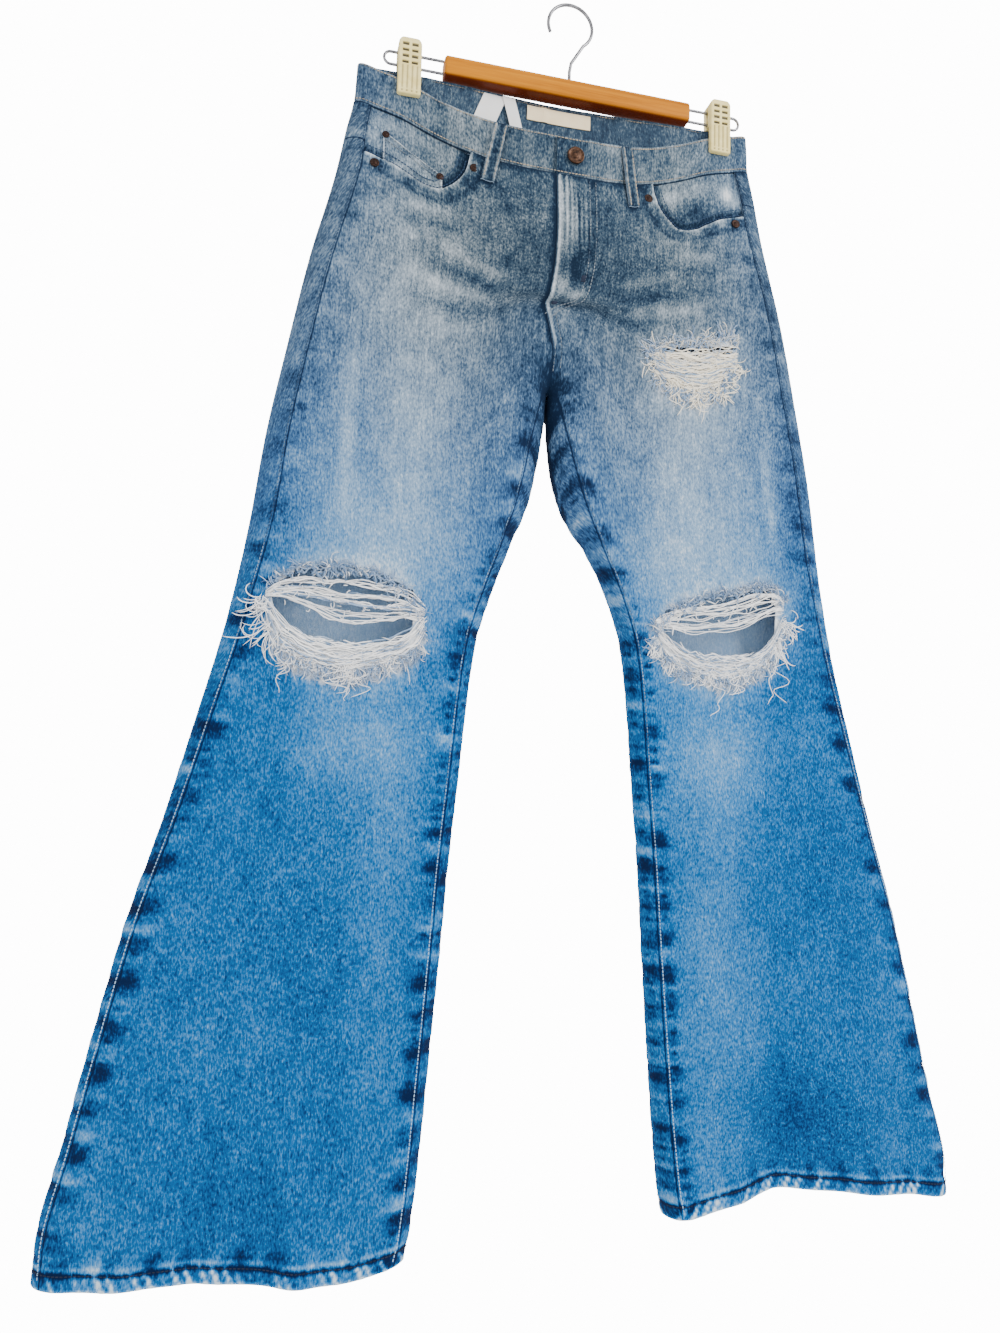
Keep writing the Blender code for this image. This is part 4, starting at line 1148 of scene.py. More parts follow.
# Panels and waistband
ROW_PITCH, HEM_PITCH = 0.0034, 0.0012
HEM_FINE = HEM + .020   # rows lie closer from here down
NEAR_CROTCH = (.012, .008, .005, .0025, .001)
PANEL_COLUMNS, BACK_COLUMNS, YOKE_COLUMNS, YOKE_ROWS = 88, 92, 80, 16


def panel_levels(start):
    """Heights of a panel's rows from its top down, with more of them near the crotch and at the hem."""
    plain, at_hem = levels(start, HEM_FINE, ROW_PITCH)[:-1], levels(HEM_FINE, HEM, HEM_PITCH)
    return np.unique(np.concatenate([plain, [CROTCH + d for d in NEAR_CROTCH], at_hem]))[::-1]


def front_panel(side):
    """A front, worn, puckered and given painted shade, less its pocket mouth and its frayed holes."""
    name = f"front_{SIDE_NAME[side]}"
    rows = [front_row(z, side, PANEL_COLUMNS) for z in panel_levels(BAND_SEAM - HALF_GAP)]
    front = Cloth(f"{name}_cloth", rows, side, DENIM).wear()
    mouth_marks(front)
    fly_marks(front)
    loop_foot_shadow(front)
    rows_seam(front, 0)
    front.cut(mouth_outline())
    for rip in RIPS.values():
        if rip["side"] == side:
            fray_edge(front, rip)
            front.cut(ragged_outline(rip))
    front.build(0, -WALL, [name], flat=(.30, .98))


def back_panel(side):
    """A back, which wraps round both folds of its leg."""
    name = f"back_{SIDE_NAME[side]}"
    rows = [back_row(z, BACK_COLUMNS, float(ease(*YOKE_FADE, z))) for z in panel_levels(YOKE_SIDE - HALF_GAP)]
    back = rows_seam(Cloth(f"{name}_cloth", rows, side, DENIM).wear(), 0)
    back.build(0, -WALL, [name], flat=(.38, .95))


def yoke(side):
    """The piece between waistband and back, whose lower edge dips towards the middle."""
    name = f"yoke_{SIDE_NAME[side]}"
    heights = np.linspace(BAND_SEAM - HALF_GAP, YOKE_SIDE + HALF_GAP, YOKE_ROWS)
    rows = [back_row(z, YOKE_COLUMNS, dip) for z, dip in zip(heights, np.linspace(0, 1, YOKE_ROWS))]
    made = rows_seam(Cloth(f"{name}_cloth", rows, side, DENIM).wear(hem=False), 0, -1)
    made.build(0, -WALL, [name], flat=(.22, .075))


def panels():
    for side in (RIGHT, LEFT):
        front_panel(side)
        back_panel(side)
        yoke(side)


def band_marks(cloth):
    """The waistband's edges are rubbed, and it puckers between its stitch rows; its front gets painted shade
    near the button, where it droops and folds.
    """
    top, foot = BAND_TOP - cloth.z, cloth.z - BAND_SEAM
    run = cloth.x * cloth.layer
    for edge in (top, foot):
        marks = seam_marks(61 + cloth.side, run, edge - .004, .006)
        cloth.tone = cloth.tone + .26 * marks + .16 * np.exp(-(edge / .0014) ** 2)
        cloth.height = cloth.height + .0005 * marks - .0007 * np.exp(-(edge / .0012) ** 2)
    # The band is a darker blue; the extra darkening on the front near the button is painted shade of its
    # droop and fold.
    cloth.tone = cloth.tone - .10 - .16 * ease(.045, .0, cloth.x) * (cloth.layer < 0)
    cloth.pale_inside, cloth.inner_tone = .04, .22
    return cloth


BUTTON_END = (-.017, .010)   # the right half's end, which lies under the left one at the button


def waistband():
    """Both halves of the waistband; the right one's end goes under the left one at the button."""
    tuck = BAND_WALL + SEAM_GAP + SLACK
    for side in (RIGHT, LEFT):
        name = f"waistband_{SIDE_NAME[side]}"
        rows = []
        for z in spaced(BAND_TOP, BAND_SEAM + HALF_GAP, 20):
            row = np.concatenate([front_row(z, side, 74)[:-1], back_row(z, 96)])
            if side == RIGHT:
                row = np.concatenate([surface(np.linspace(*BUTTON_END, 10), z, FRONT), row])
                out_again = 1 - ease(-FLY_EDGE, -FLY_EDGE + .020, row[:, 0])
                row[:, 1] += tuck * out_again * (row[:, 1] < 0)
            rows.append(row)
        band = rows_seam(band_marks(Cloth(f"{name}_cloth", rows, side, DENIM)), -1)
        band.build(0, -BAND_WALL, [name], flat=(.40, .038))


# Pieces that lie on a panel or behind one
def lying_piece(name, side, x, z, out, inside, layer, nodes, flat, wear, finish=None, slot="denim"):
    """A shell over part of one layer; x and z are grids of laid-out places, wear marks the cloth."""
    x, z = np.broadcast_arrays(np.asarray(x, float), np.asarray(z, float))
    cloth = Cloth(name, surface(x, z, layer), side, finish or DENIM, slot)
    wear(cloth)
    cloth.build(out, inside, nodes, flat=flat)


def edge_wear(amount, seed):
    """Marks of a small piece that is turned and stitched all round."""
    def wear(cloth):
        place = np.stack([cloth.x, cloth.z], axis=-1)
        edges = place[:1], place[-1:], place[:, :1], place[:, -1:]
        away = np.minimum.reduce([np.linalg.norm(place - edge, axis=-1) for edge in edges])
        marks = seam_marks(seed, cloth.x + cloth.z, away - .004, .006)
        cloth.tone = cloth.tone + amount * np.exp(-(away / .0016) ** 2) + .6 * amount * marks
        cloth.height = cloth.height + .0004 * marks - .0005 * np.exp(-(away / .0011) ** 2)
    return wear


# Worn (positive) and dark (negative) places on the pocket facings; the dark ones are painted shadow inside
# each pocket.
POCKET_WEAR_AND_SHADE = (
    (LEFT, FRONT, .128, -.090, .022, .012, -.30),
    (LEFT, FRONT, .110, -.066, .030, .006, .16),
    (LEFT, FRONT, .166, -.074, .006, .010, .50),
    (LEFT, FRONT, .174, -.080, .008, .014, .20),
    (RIGHT, FRONT, .150, -.062, .030, .006, .18),
    (RIGHT, FRONT, .172, -.080, .010, .016, .14),
    (RIGHT, FRONT, .118, -.098, .020, .008, -.26),
)
FACING_REACH = (.078, .186)
FACING_BELOW = .014   # how far the facing goes on behind the pocket mouth's edge


def mouth_shadow(cloth):
    """A facing lies deeper near the mouth's edge and gets painted shadow there and inside the pocket."""
    away, _ = near_line(cloth.x, cloth.z, mouth_line())
    # Painted shadow on the facing, deepest at the mouth's edge.
    cloth.tone = cloth.tone - .06 - .60 * ease(.013, 0, away)
    cloth.tone = cloth.tone + patch_shade(POCKET_WEAR_AND_SHADE, cloth.side, FRONT, cloth.x, cloth.z)
    cloth.height = cloth.height - .0016 * ease(.016, 0, away)


def pocket_facings():
    """The cloth that shows behind each pocket mouth."""
    for side in (RIGHT, LEFT):
        name = f"pocket_facing_{SIDE_NAME[side]}"
        x = np.linspace(*FACING_REACH, 36)[None, :]
        foot = MOUTH(np.maximum(x, .096)) - FACING_BELOW
        z = BAND_SEAM - SEAM_GAP + (foot - BAND_SEAM + SEAM_GAP) * np.linspace(0, 1, 24)[:, None]
        lying_piece(f"{name}_cloth", side, x, z, -BEHIND, -BEHIND - WALL, FRONT, [name], (.11, .075),
                    mouth_shadow)


def coin_pocket():
    """The small pocket on the right facing, from its slanted top down to the mouth."""
    (x0, z0), (x1, z1) = COIN_TOP
    x = np.linspace(x0, x1, 26)[None, :]
    top = z0 + (z1 - z0) * (x - x0) / (x1 - x0)
    z = top + (MOUTH(x) + .0008 - top) * np.linspace(0, 1, 16)[:, None]
    lying_piece("coin_pocket_cloth", RIGHT, x, z, -.0002, -WALL - .0003, FRONT, ["coin_pocket"], (.054, .036),
                edge_wear(.42, 3))


BACK_POCKET_MIDDLE, BACK_POCKET_HALF, BACK_POCKET_TAPER = .104, .070, .006
BACK_POCKET_TOP, BACK_POCKET_SIDE, BACK_POCKET_POINT = -.150, .125, .020


def seat_wear(cloth):
    """A back pocket takes the seat's wear and painted shade under it, and is worn along its own edges."""
    cloth.tone = cloth.tone + patch_shade(WEAR_AND_SHADE, cloth.side, BACK, cloth.x, cloth.z) * .8 + .04
    edge_wear(.32, 17)(cloth)


def back_pockets():
    """Two plain pockets that end in a low point."""
    across, down = np.linspace(-1, 1, 42)[None, :], np.linspace(0, 1, 44)[:, None]
    x = BACK_POCKET_MIDDLE + across * (BACK_POCKET_HALF - BACK_POCKET_TAPER * down)
    z = BACK_POCKET_TOP - down * (BACK_POCKET_SIDE + BACK_POCKET_POINT * (1 - np.abs(across)))
    for side in (RIGHT, LEFT):
        name = f"back_pocket_{SIDE_NAME[side]}"
        lying_piece(f"{name}_cloth", side, x, z, LYING + WALL, LYING, BACK, [name], (.14, .145), seat_wear)


# A plain darker tone all over.
def darker_all_over(cloth):
    cloth.tone = cloth.tone - .22


def fly_shield():
    """The strip behind the fly, which hardly shows."""
    z = levels(BAND_SEAM - SEAM_GAP, -.236, .005)[:, None]
    x = np.linspace(-.030, .020, 14)[None, :]
    lying_piece("fly_shield_cloth", LEFT, x, z, -BEHIND, -BEHIND - WALL, FRONT, ["fly_shield"], (.05, .145),
                darker_all_over)


def loop_lift(down):
    """How far a loop stands off the band, which is most in its middle."""
    return SEAM_GAP + .0022 * np.sin(math.pi * np.clip(down, 0, 1)) ** .6


def belt_loops():
    """Five loops with a stitched rail along each side."""
    down = spaced(0, 1, 26)[:, None]
    across = np.linspace(-LOOP_HALF, LOOP_HALF, 11)[None, :]

    def rails(cloth):
        rail = np.exp(-((np.abs(across) - LOOP_RAIL) / .0011) ** 2)
        cloth.height = cloth.height + loop_lift(down) + .0007 * rail - .0005 * (np.abs(across) > .0052)
        ends = np.exp(-(down / .05) ** 2) + np.exp(-((1 - down) / .05) ** 2)
        cloth.tone = cloth.tone + .46 * rail - .30 + .12 * wave(9)(down * 6) - .20 * ends

    z = LOOP_TOP - down * LOOP_LENGTH
    for name, side, layer, middle, lean in LOOPS:
        x = middle + across + lean * down
        lying_piece(f"{name}_cloth", side, x, z, LOOP_THICK, 0, layer, [name], (.0116, .061), rails)


# Topstitching
STITCH, STITCH_STEP, STITCH_HALF = .0024, .0031, .00042
# A stitch's cross-sections along it: place, width and height as shares; and the points of each.
STITCH_RINGS = ((-.5, .35, -.5), (-.30, 1.0, .35), (.30, 1.0, .35), (.5, .35, -.5))
STITCH_ARCH = ((1, -.4), (.55, .75), (-.55, .75), (-1, -.4))


def hung_line(side, layer, x, z, lift):
    """Laid-out places of one layer, lifted off it, as they hang."""
    points = surface(x, z, layer)
    return hang(points + normals(points) * np.asarray(lift)[..., None], side, points[..., 1] * 0 + layer)


def evenly(path, pitch):
    """Places a pitch apart along a hung path, and the way it runs there."""
    step = np.linalg.norm(np.diff(path, axis=0), axis=1)
    run = np.concatenate([[0], np.cumsum(step)])
    at = np.arange(pitch / 2, run[-1], pitch)
    spot = np.stack([np.interp(at, run, path[:, k]) for k in range(3)], axis=-1)
    ahead = np.stack([np.interp(at + pitch / 4, run, path[:, k]) for k in range(3)], axis=-1)
    way = ahead - spot
    return spot, way / np.maximum(np.linalg.norm(way, axis=1, keepdims=True), 1e-9)


class Stitching:
    """Rows of single stitches, gathered into one mesh."""

    def __init__(self):
        self.spots, self.ways, self.outs, self.sizes = [], [], [], []

    def row(self, side, layer, x, z, lift=.0003, pitch=STITCH_STEP, size=(STITCH, STITCH_HALF)):
        x, z = np.broadcast_arrays(np.asarray(x, float), np.asarray(z, float))
        path = hung_line(side, layer, x, z, np.broadcast_to(lift, x.shape))
        above = hung_line(side, layer, x, z, np.broadcast_to(np.asarray(lift) + .002, x.shape))
        spot, way = evenly(path, pitch)
        near = np.argmin(np.linalg.norm(path[None] - spot[:, None], axis=-1), axis=1)
        out = (above - path)[near]
        self.spots.append(spot)
        self.ways.append(way)
        self.outs.append(out / np.linalg.norm(out, axis=1, keepdims=True))
        self.sizes.append(np.broadcast_to(size, (len(spot), 2)))

    def build(self, name, finish):
        spot, way, out, size = (np.concatenate(v) for v in (self.spots, self.ways, self.outs, self.sizes))
        rng = np.random.default_rng(len(spot))
        across = np.cross(way, out)
        way = way + across * rng.normal(0, .06, (len(spot), 1))
        points = []
        for along, wide, up in STITCH_RINGS:
            for c, s in STITCH_ARCH:
                points.append(spot + way * along * size[:, :1] + across * c * wide * size[:, 1:]
                              + out * (s * wide + up * .6) * size[:, 1:])
        points = np.stack(points, axis=1)
        count = len(STITCH_ARCH)
        first = np.array([r * count + k for r in range(len(STITCH_RINGS) - 1) for k in range(count - 1)])
        faces = np.stack([first, first + 1, first + count + 1, first + count], axis=-1)
        base = np.arange(len(spot))[:, None, None] * len(points[0])
        made = new_mesh(name, points.reshape(-1, 3), (faces[None] + base).reshape(-1, 4), finish)
        claim(made, None, "denim")


ROW_STEP = .003   # between the places that a seam's stitch row runs through
ROW_NEAR, ROW_FAR = .0022, .0085   # a double row's distances from the edge that it holds


def leg_rows(side):
    """The seams of a front: outseam, inseam and the double row round the pocket mouth."""
    legs = Stitching()
    z = np.arange(BAND_SEAM - .002, HEM + .003, -ROW_STEP)
    legs.row(side, FRONT, outseam(z) + .0018, z)
    z = np.arange(CROTCH - .030, HEM + .003, -ROW_STEP)
    legs.row(side, FRONT, inseam(z) + .0020, z)
    line = mouth_line()
    line = line[line[:, 1] < BAND_SEAM - .001]
    for lower in (ROW_NEAR, ROW_FAR):
        legs.row(side, FRONT, *moved(line, -lower).T)
    legs.build(f"front_stitching_{SIDE_NAME[side]}", STITCH_BLUE)


def hem_rows(side):
    """One row round the hem, sunk into its groove, in dark thread that is partly painted shade of the groove.
    """
    hems, z = Stitching(), HEM_STITCHES
    for layer in (FRONT, BACK):
        hems.row(side, layer, np.linspace(INNER(z) + .002, OUTER(z) - .001, 90), z, lift=.0006)
    hems.build(f"hem_stitching_{SIDE_NAME[side]}", STITCH_DARK)


def back_rows(side):
    """The yoke's double row, the seat's middle seam and the back pocket's double row."""
    back = Stitching()
    x = np.linspace(.002, .185, 70)
    dip = YOKE_SIDE - YOKE_DIP * (1 - np.clip(x / OUTER(YOKE_SIDE), 0, 1))
    back.row(side, BACK, x, dip - ROW_NEAR)
    back.row(side, BACK, x, dip - ROW_FAR)
    back.row(side, BACK, ROW_NEAR, np.arange(-.125, CROTCH + .012, -ROW_STEP))
    point = 1 + BACK_POCKET_POINT / BACK_POCKET_SIDE
    for inner in (ROW_NEAR, ROW_FAR):
        line = []
        for across, down in ((-1, 0), (-1, 1), (0, point), (1, 1), (1, 0)):
            half = BACK_POCKET_HALF - inner
            x = BACK_POCKET_MIDDLE + across * half - BACK_POCKET_TAPER * across * down
            raised = inner * 1.1 if down > .5 else -.001
            line.append((x, BACK_POCKET_TOP - down * BACK_POCKET_SIDE + raised))
        for (x0, z0), (x1, z1) in zip(line, line[1:]):
            t = np.linspace(0, 1, 30)
            back.row(side, BACK, x0 + (x1 - x0) * t, z0 + (z1 - z0) * t, lift=LYING + WALL + .0003)
    back.build(f"back_stitching_{SIDE_NAME[side]}", STITCH_BLUE)


def band_rows(side):
    """A row along each edge of the waistband, outside and on its inner face."""
    band = Stitching()
    start = -.010 * (side == LEFT) + .004
    for z in (BAND_TOP - .0022, BAND_SEAM + .0026):
        band.row(side, FRONT, np.linspace(start, OUTER(z) - .002, 90), z)
        band.row(side, BACK, np.linspace(.002, OUTER(z) - .002, 90), z)
        band.row(side, BACK, np.linspace(.002, OUTER(z) - .010, 90), z, lift=-BAND_WALL - .0004)
    band.build(f"waistband_stitching_{SIDE_NAME[side]}", STITCH_CREAM)


def fly_rows():
    """The fly's curved double row and the two straight rows of the seam below it."""
    rows = Stitching()
    line = smooth_line(FLY_CURVE)
    for lower in (0, .0062):
        rows.row(LEFT, FRONT, *moved(line, lower).T)
    z = np.arange(-.254, CROTCH + .004, -ROW_STEP)
    rows.row(LEFT, FRONT, fly_line(z) + .0022, z)
    rows.row(LEFT, FRONT, fly_line(z) + .0082, z)
    rows.build("fly_stitching", STITCH_PALE)


# Bartacks: side, place (x, z), how much its short stitches lean.
BARTACKS = (
    (LEFT, .0150, -.180, .0006),
    (LEFT, -.0045, -.236, .0),
    (LEFT, .0610, BAND_SEAM - .010, .0),
)
TACK_HALF, TACK_TALL, TACK_STITCHES = .0024, .0075, 9


def bartacks():
    """Blocks of short stitches across the fly and at a loop's foot."""
    tacks = Stitching()
    for side, x, z, lean in BARTACKS:
        for k in np.linspace(-.5, .5, TACK_STITCHES):
            across, down = x + TACK_HALF * np.array([-1, 1]), z + k * TACK_TALL + lean * np.array([-1, 1])
            tacks.row(side, FRONT, across, down, lift=.0006, pitch=.0046, size=(.0050, .0005))
    tacks.build("bartacks", STITCH_DARK)


def coin_rows():
    """The coin pocket's double row along its top and one row down each side."""
    coin = Stitching()
    (x0, z0), (x1, z1) = COIN_TOP
    t = np.linspace(0, 1, 30)
    for lower in (.0020, .0075):
        coin.row(RIGHT, FRONT, x0 + (x1 - x0) * t, z0 + (z1 - z0) * t - lower, lift=.0003)
    for x in (x0 + .002, x1 - .002):
        top = z0 + (z1 - z0) * (x - x0) / (x1 - x0)
        z = np.linspace(top - .003, float(MOUTH(x)) + .002, 20)
        coin.row(RIGHT, FRONT, x, z, lift=.0003)
    coin.build("coin_pocket_stitching", STITCH_PALE)


def loop_rows():
    """A row along both rails of every loop."""
    loops = Stitching()
    down = np.linspace(.02, .98, 30)
    for _, side, layer, x, lean in LOOPS:
        for across in (-LOOP_RAIL, LOOP_RAIL):
            loops.row(side, layer, x + across + lean * down, LOOP_TOP - down * LOOP_LENGTH,
                      lift=loop_lift(down) + LOOP_THICK + .0008)
    loops.build("belt_loop_stitching", STITCH_CREAM)


def topstitching():
    """Topstitching of every seam, one mesh for each panel it holds."""
    for side in (RIGHT, LEFT):
        leg_rows(side)
        hem_rows(side)
        back_rows(side)
        band_rows(side)
    fly_rows()
    bartacks()
    coin_rows()
    loop_rows()


# Yarns of the rips
class Threads:
    """Loose yarns, gathered into one mesh; each has its own shade from 0, blue, to 1, white."""

    def __init__(self, side):
        self.side, self.points, self.faces, self.shades = side, [], [], []

    def yarn(self, x, z, lift, radius, shade):
        path = hung_line(self.side, FRONT, x, z, lift)
        way = np.gradient(path, axis=0)
        way /= np.linalg.norm(way, axis=1, keepdims=True)
        side_way = np.cross(way, (0, -1.0, 0))
        side_way /= np.maximum(np.linalg.norm(side_way, axis=1, keepdims=True), 1e-6)
        up = np.cross(side_way, way)
        thick = radius * np.concatenate([[.5], np.ones(len(path) - 2), [.25]])[:, None]   # thin at both ends
        turns = np.array([0, 1, 2]) * 2 * math.pi / 3
        ring = [path + thick * (side_way * math.cos(t) + up * math.sin(t)) for t in turns]
        first = sum(len(p) for p in self.points)
        self.points.append(np.stack(ring, axis=1).reshape(-1, 3))
        self.shades.append(np.full(len(path) * 3, shade))
        for r in range(len(path) - 1):
            for k in range(3):
                a, b = first + r * 3 + k, first + r * 3 + (k + 1) % 3
                self.faces.append((a, b, b + 3, a + 3))

    def build(self, name, nodes, finish):
        made = new_mesh(name, np.concatenate(self.points), self.faces, finish)
        give(made.data, "shade", np.concatenate(self.shades))
        claim(made, nodes, "white_weft")


def strands(threads, rip, rng):
    """Weft yarns that still cross the hole, in uneven sagging bundles."""
    start, end = rip["ends"]
    low, high = rip["hole_ends"]
    t = np.linspace(low - .05, high + .05, 26)
    x = start + (end - start) * t
    run = (t - t[0]) / (t[-1] - t[0])
    for k in range(rip["bundles"]):
        share = (k + .8) / rip["bundles"] + rng.uniform(-.04, .04)
        sag = rip["sag"] * rng.uniform(.4, 1.2)
        wander, lift = wave(int(rng.integers(1, 900))), rng.uniform(.0002, .0022)
        for _ in range(int(rng.integers(1, 6))):
            own, drift = wave(int(rng.integers(1, 900))), rng.normal(0, .0010)
            z = rip["hole_top"](t) * (1 - share) + rip["open_top"](t) * share
            z = z - sag * np.sin(math.pi * run) ** 1.3
            z = z + wander(run * 1.6) * .0019 + own(run * 3.1) * .0014 + drift
            threads.yarn(x, z, np.clip(lift + own(run + 3) * .0012, .0002, None), rng.uniform(.00035, .00075),
                         1 - .72 * rng.random() ** 2.0)


def tuft(threads, rng, place, way, count, length, shade, lift=.003, spread=.0016):
    """A clump of broken yarn ends that leave the cloth together and curl apart."""
    way = np.asarray(way, float) / np.linalg.norm(way)
    t = np.linspace(0, 1, 8)
    for _ in range(count):
        root = place + rng.normal(0, spread, 2)
        own = way + rng.normal(0, .30, 2)
        reach = length * rng.uniform(.45, 1.1)
        bend = rng.normal(0, 1.5) * t ** 1.4
        step_x = own[0] * np.cos(bend) - own[1] * np.sin(bend)
        step_z = own[0] * np.sin(bend) + own[1] * np.cos(bend)
        x = root[0] + reach / len(t) * (np.cumsum(step_x) - step_x[0])
        z = root[1] + reach / len(t) * (np.cumsum(step_z) - step_z[0])
        height = .0004 + rng.uniform(.2, 1.0) * lift * np.sin(math.pi * .8 * t)
        radius = rng.uniform(.00028, .00054)
        threads.yarn(x, z, height, radius, float(np.clip(shade + rng.normal(0, .14), .05, 1)))


def loose_curls(threads, rip, rng, count):
    """Single fibres that stand off the yarns across the hole."""
    start, end = rip["ends"]
    for _ in range(count):
        t, share = rng.uniform(*rip["hole_ends"]), rng.uniform(.1, 1.0)
        z = rip["hole_top"](t) * (1 - share) + rip["open_top"](t) * share
        z = z - rip["sag"] * .6 * math.sin(math.pi * t)
        angle = rng.uniform(0, 2 * math.pi)
        place, way = np.array([start + (end - start) * t, float(z)]), (math.cos(angle), math.sin(angle))
        tuft(threads, rng, place, way, 1, rng.uniform(.004, .010), .85, .004)


def fringe(threads, rip, rng):
    """Broken yarn ends round a hole: curly blue fuzz along its top, pale tufts under it, white tongues."""
    start, end = rip["ends"]
    upper, lower = rip["top"], rip["foot"]
    for t in np.linspace(.02, .98, rip["clumps"]) + rng.uniform(-.008, .008, rip["clumps"]):
        x = start + (end - start) * t
        top = np.array([x, float(upper(t)) - rip["fuzz_inset"]])
        tuft(threads, rng, top, (rng.normal(0, .8), rng.choice([1.0, .6, -.9])), int(rng.integers(7, 14)),
             rng.uniform(.006, .0120) * rip["fuzz_length"], rip["fuzz_shade"], .0035, .0022)
        foot = np.array([x, float(lower(t)) + .0075])
        tuft(threads, rng, foot, (rng.normal(0, .45), -1), int(rng.integers(8, 17)), rng.uniform(.008, .017),
             .36 + .22 * (rng.random() < .25), .0035, .0021)
    for t, way, length, count in rip["tongues"]:
        x = start + (end - start) * t
        tuft(threads, rng, np.array([x, float(lower(min(t, 1))) + .010]), way, count, length, .95, .004, .004)


def weft_border(threads, rip, rng):
    """Bare weft along the hole's lower edge and ends: yarns that swirl round it and cross each other."""
    start, end = rip["ends"]
    for _ in range(rip["border"]):
        t0 = rng.uniform(-.02, .75)
        t = np.clip(np.linspace(t0, t0 + rng.uniform(.15, .65), 16), 0, 1)
        share = rng.uniform(-.15, .62)
        z = rip["hole_foot"](t) * (1 - share) + rip["foot"](t) * share
        own, slope = wave(int(rng.integers(1, 900))), rng.normal(0, .0030)
        z = z + own(t * 5) * .0016 + slope * (t - t.mean()) / .3
        threads.yarn(start + (end - start) * t, z, .0005 + .0018 * np.abs(own(t * 3 + 2)),
                     rng.uniform(.00035, .0007), 1 - .80 * rng.random() ** 2.2)


def hanging_threads(threads, rip, rng):
    """A few long curled yarns that have come out and hang."""
    start, end = rip["ends"]
    for k in range(rip["long_threads"]):
        t = (.94 if k % 3 else .50) + rng.uniform(-.10, .08)
        x0, z0 = start + (end - start) * t, float(rip["foot"](min(t, 1))) + .016
        run = np.linspace(0, 1, 22)
        length = rng.uniform(.025, .050)
        own = wave(int(rng.integers(1, 900)))
        x = x0 + (own(run * 1.4) - own(0)) * .010 + rng.normal(0, .006) * run
        z = z0 - length * run + own(run * 2 + 4) * .0015
        threads.yarn(x, z, .001 + .004 * np.sin(math.pi * run * .8), .00035, rng.uniform(.7, 1.0))


def rips():
    """The yarns of each frayed opening, all in one mesh."""
    for key, rip in RIPS.items():
        rng = np.random.default_rng(rip["yarn_seed"])
        threads = Threads(rip["side"])
        strands(threads, rip, rng)
        weft_border(threads, rip, rng)
        loose_curls(threads, rip, rng, 60)
        fringe(threads, rip, rng)
        hanging_threads(threads, rip, rng)
        yarn = CREAM_YARN if key == "thigh_left" else WHITE_YARN
        threads.build(f"{rip['node']}_yarns", [rip["node"]], yarn)


# Labels inside the back waistband: node, side, ends (x) and (z), slant, how far it stands off, shade.
LABELS = (
    ("size_label", LEFT, (-.031, .031), (-.017, -.031), 0, 0, .30),
    ("care_label_wide", RIGHT, (.056, .078), (-.015, -.047), .012, 0, .78),
    ("care_label_narrow", RIGHT, (.040, .052), (-.015, -.047), -.009, .0012, .78),
)
TAPE_WALL = .0008


def labels():
    """Three bare labels inside the back waistband."""
    u, v = np.linspace(0, 1, 30)[None, :], np.linspace(0, 1, 24)[:, None]
    bow = .0006 * np.sin(math.pi * v) * (1 + .5 * np.sin(5 * u))
    for name, side, x, z, slant, proud, shade in LABELS:
        kink = .0009 * np.exp(-((u - .27) / .05) ** 2) if name == "size_label" else .0005 * u * v

        def stand(cloth):
            cloth.height = cloth.height - bow - kink
            cloth.tone, cloth.inner_tone = cloth.tone * 0 + shade, shade
        size = (abs(x[1] - x[0]), abs(z[1] - z[0]))
        out = -(BAND_WALL + SEAM_GAP) - proud
        across, down = x[0] + (x[1] - x[0]) * u + slant * (v - .4), z[0] + (z[1] - z[0]) * v
        lying_piece(f"{name}_tape", side, across, down, out, out - TAPE_WALL, BACK, [name], size, stand, TAPE,
                    "label_tape")


# Fasteners and hanger
def ring_faces(rings, around):
    """Faces of a tube from its rings of points, closed at both ends."""
    faces = [(i * around + k, i * around + (k + 1) % around, (i + 1) * around + (k + 1) % around,
              (i + 1) * around + k) for i in range(rings - 1) for k in range(around)]
    return faces + [tuple(range(around))[::-1], tuple((rings - 1) * around + k for k in range(around))]


def whole_turn(count):
    """Even angles round a circle."""
    return np.arange(count) * 2 * math.pi / count


def turned(name, side, x, z, profile, out, finish, nodes, slot, segments=30):
    """A round piece from its profile of (radius, height), set on the cloth."""
    seat = surface(x, z, FRONT)
    facing = normals(seat)
    foot, tip = (hang(seat + facing * h, side, FRONT) for h in (out, out + .002))
    turn = Vector((0, 0, 1)).rotation_difference(Vector(tip - foot).normalized()).to_matrix()
    points = [(r * math.cos(a), r * math.sin(a), h) for r, h in profile for a in whole_turn(segments)]
    points = np.array(points) @ np.array(turn).T + foot
    claim(new_mesh(name, points, ring_faces(len(profile), segments), finish), nodes, slot)


def rounded(radius, height, shape):
    """A profile in metres from one in shares."""
    return [(radius * r, height * h) for r, h in shape]


# Profiles of the turned pieces, as shares of their radius and height.
RIVET_SHAPE = ((.80, 0), (1, .05), (1, .35), (.93, .62), (.80, .70), (.66, .60), (.54, .50), (.46, .62),
               (.38, .86), (.24, 1.0), (.08, 1.04))
BUTTON_SHAPE = ((.45, 0), (.45, .25), (.98, .30), (1.0, .55), (.96, .85), (.88, .95), (.80, .85), (.72, .78),
                (.40, .80), (.36, .90), (.28, .95), (.10, .96))
# Rivets at the pocket mouths: side, place (x, z), height over the cloth.
RIVETS = (
    (RIGHT, .0840, -.066, .0005),
    (RIGHT, .1725, -.1085, .0009),
    (LEFT, .0820, -.066, .0005),
    (LEFT, .1725, -.1085, .0009),
)


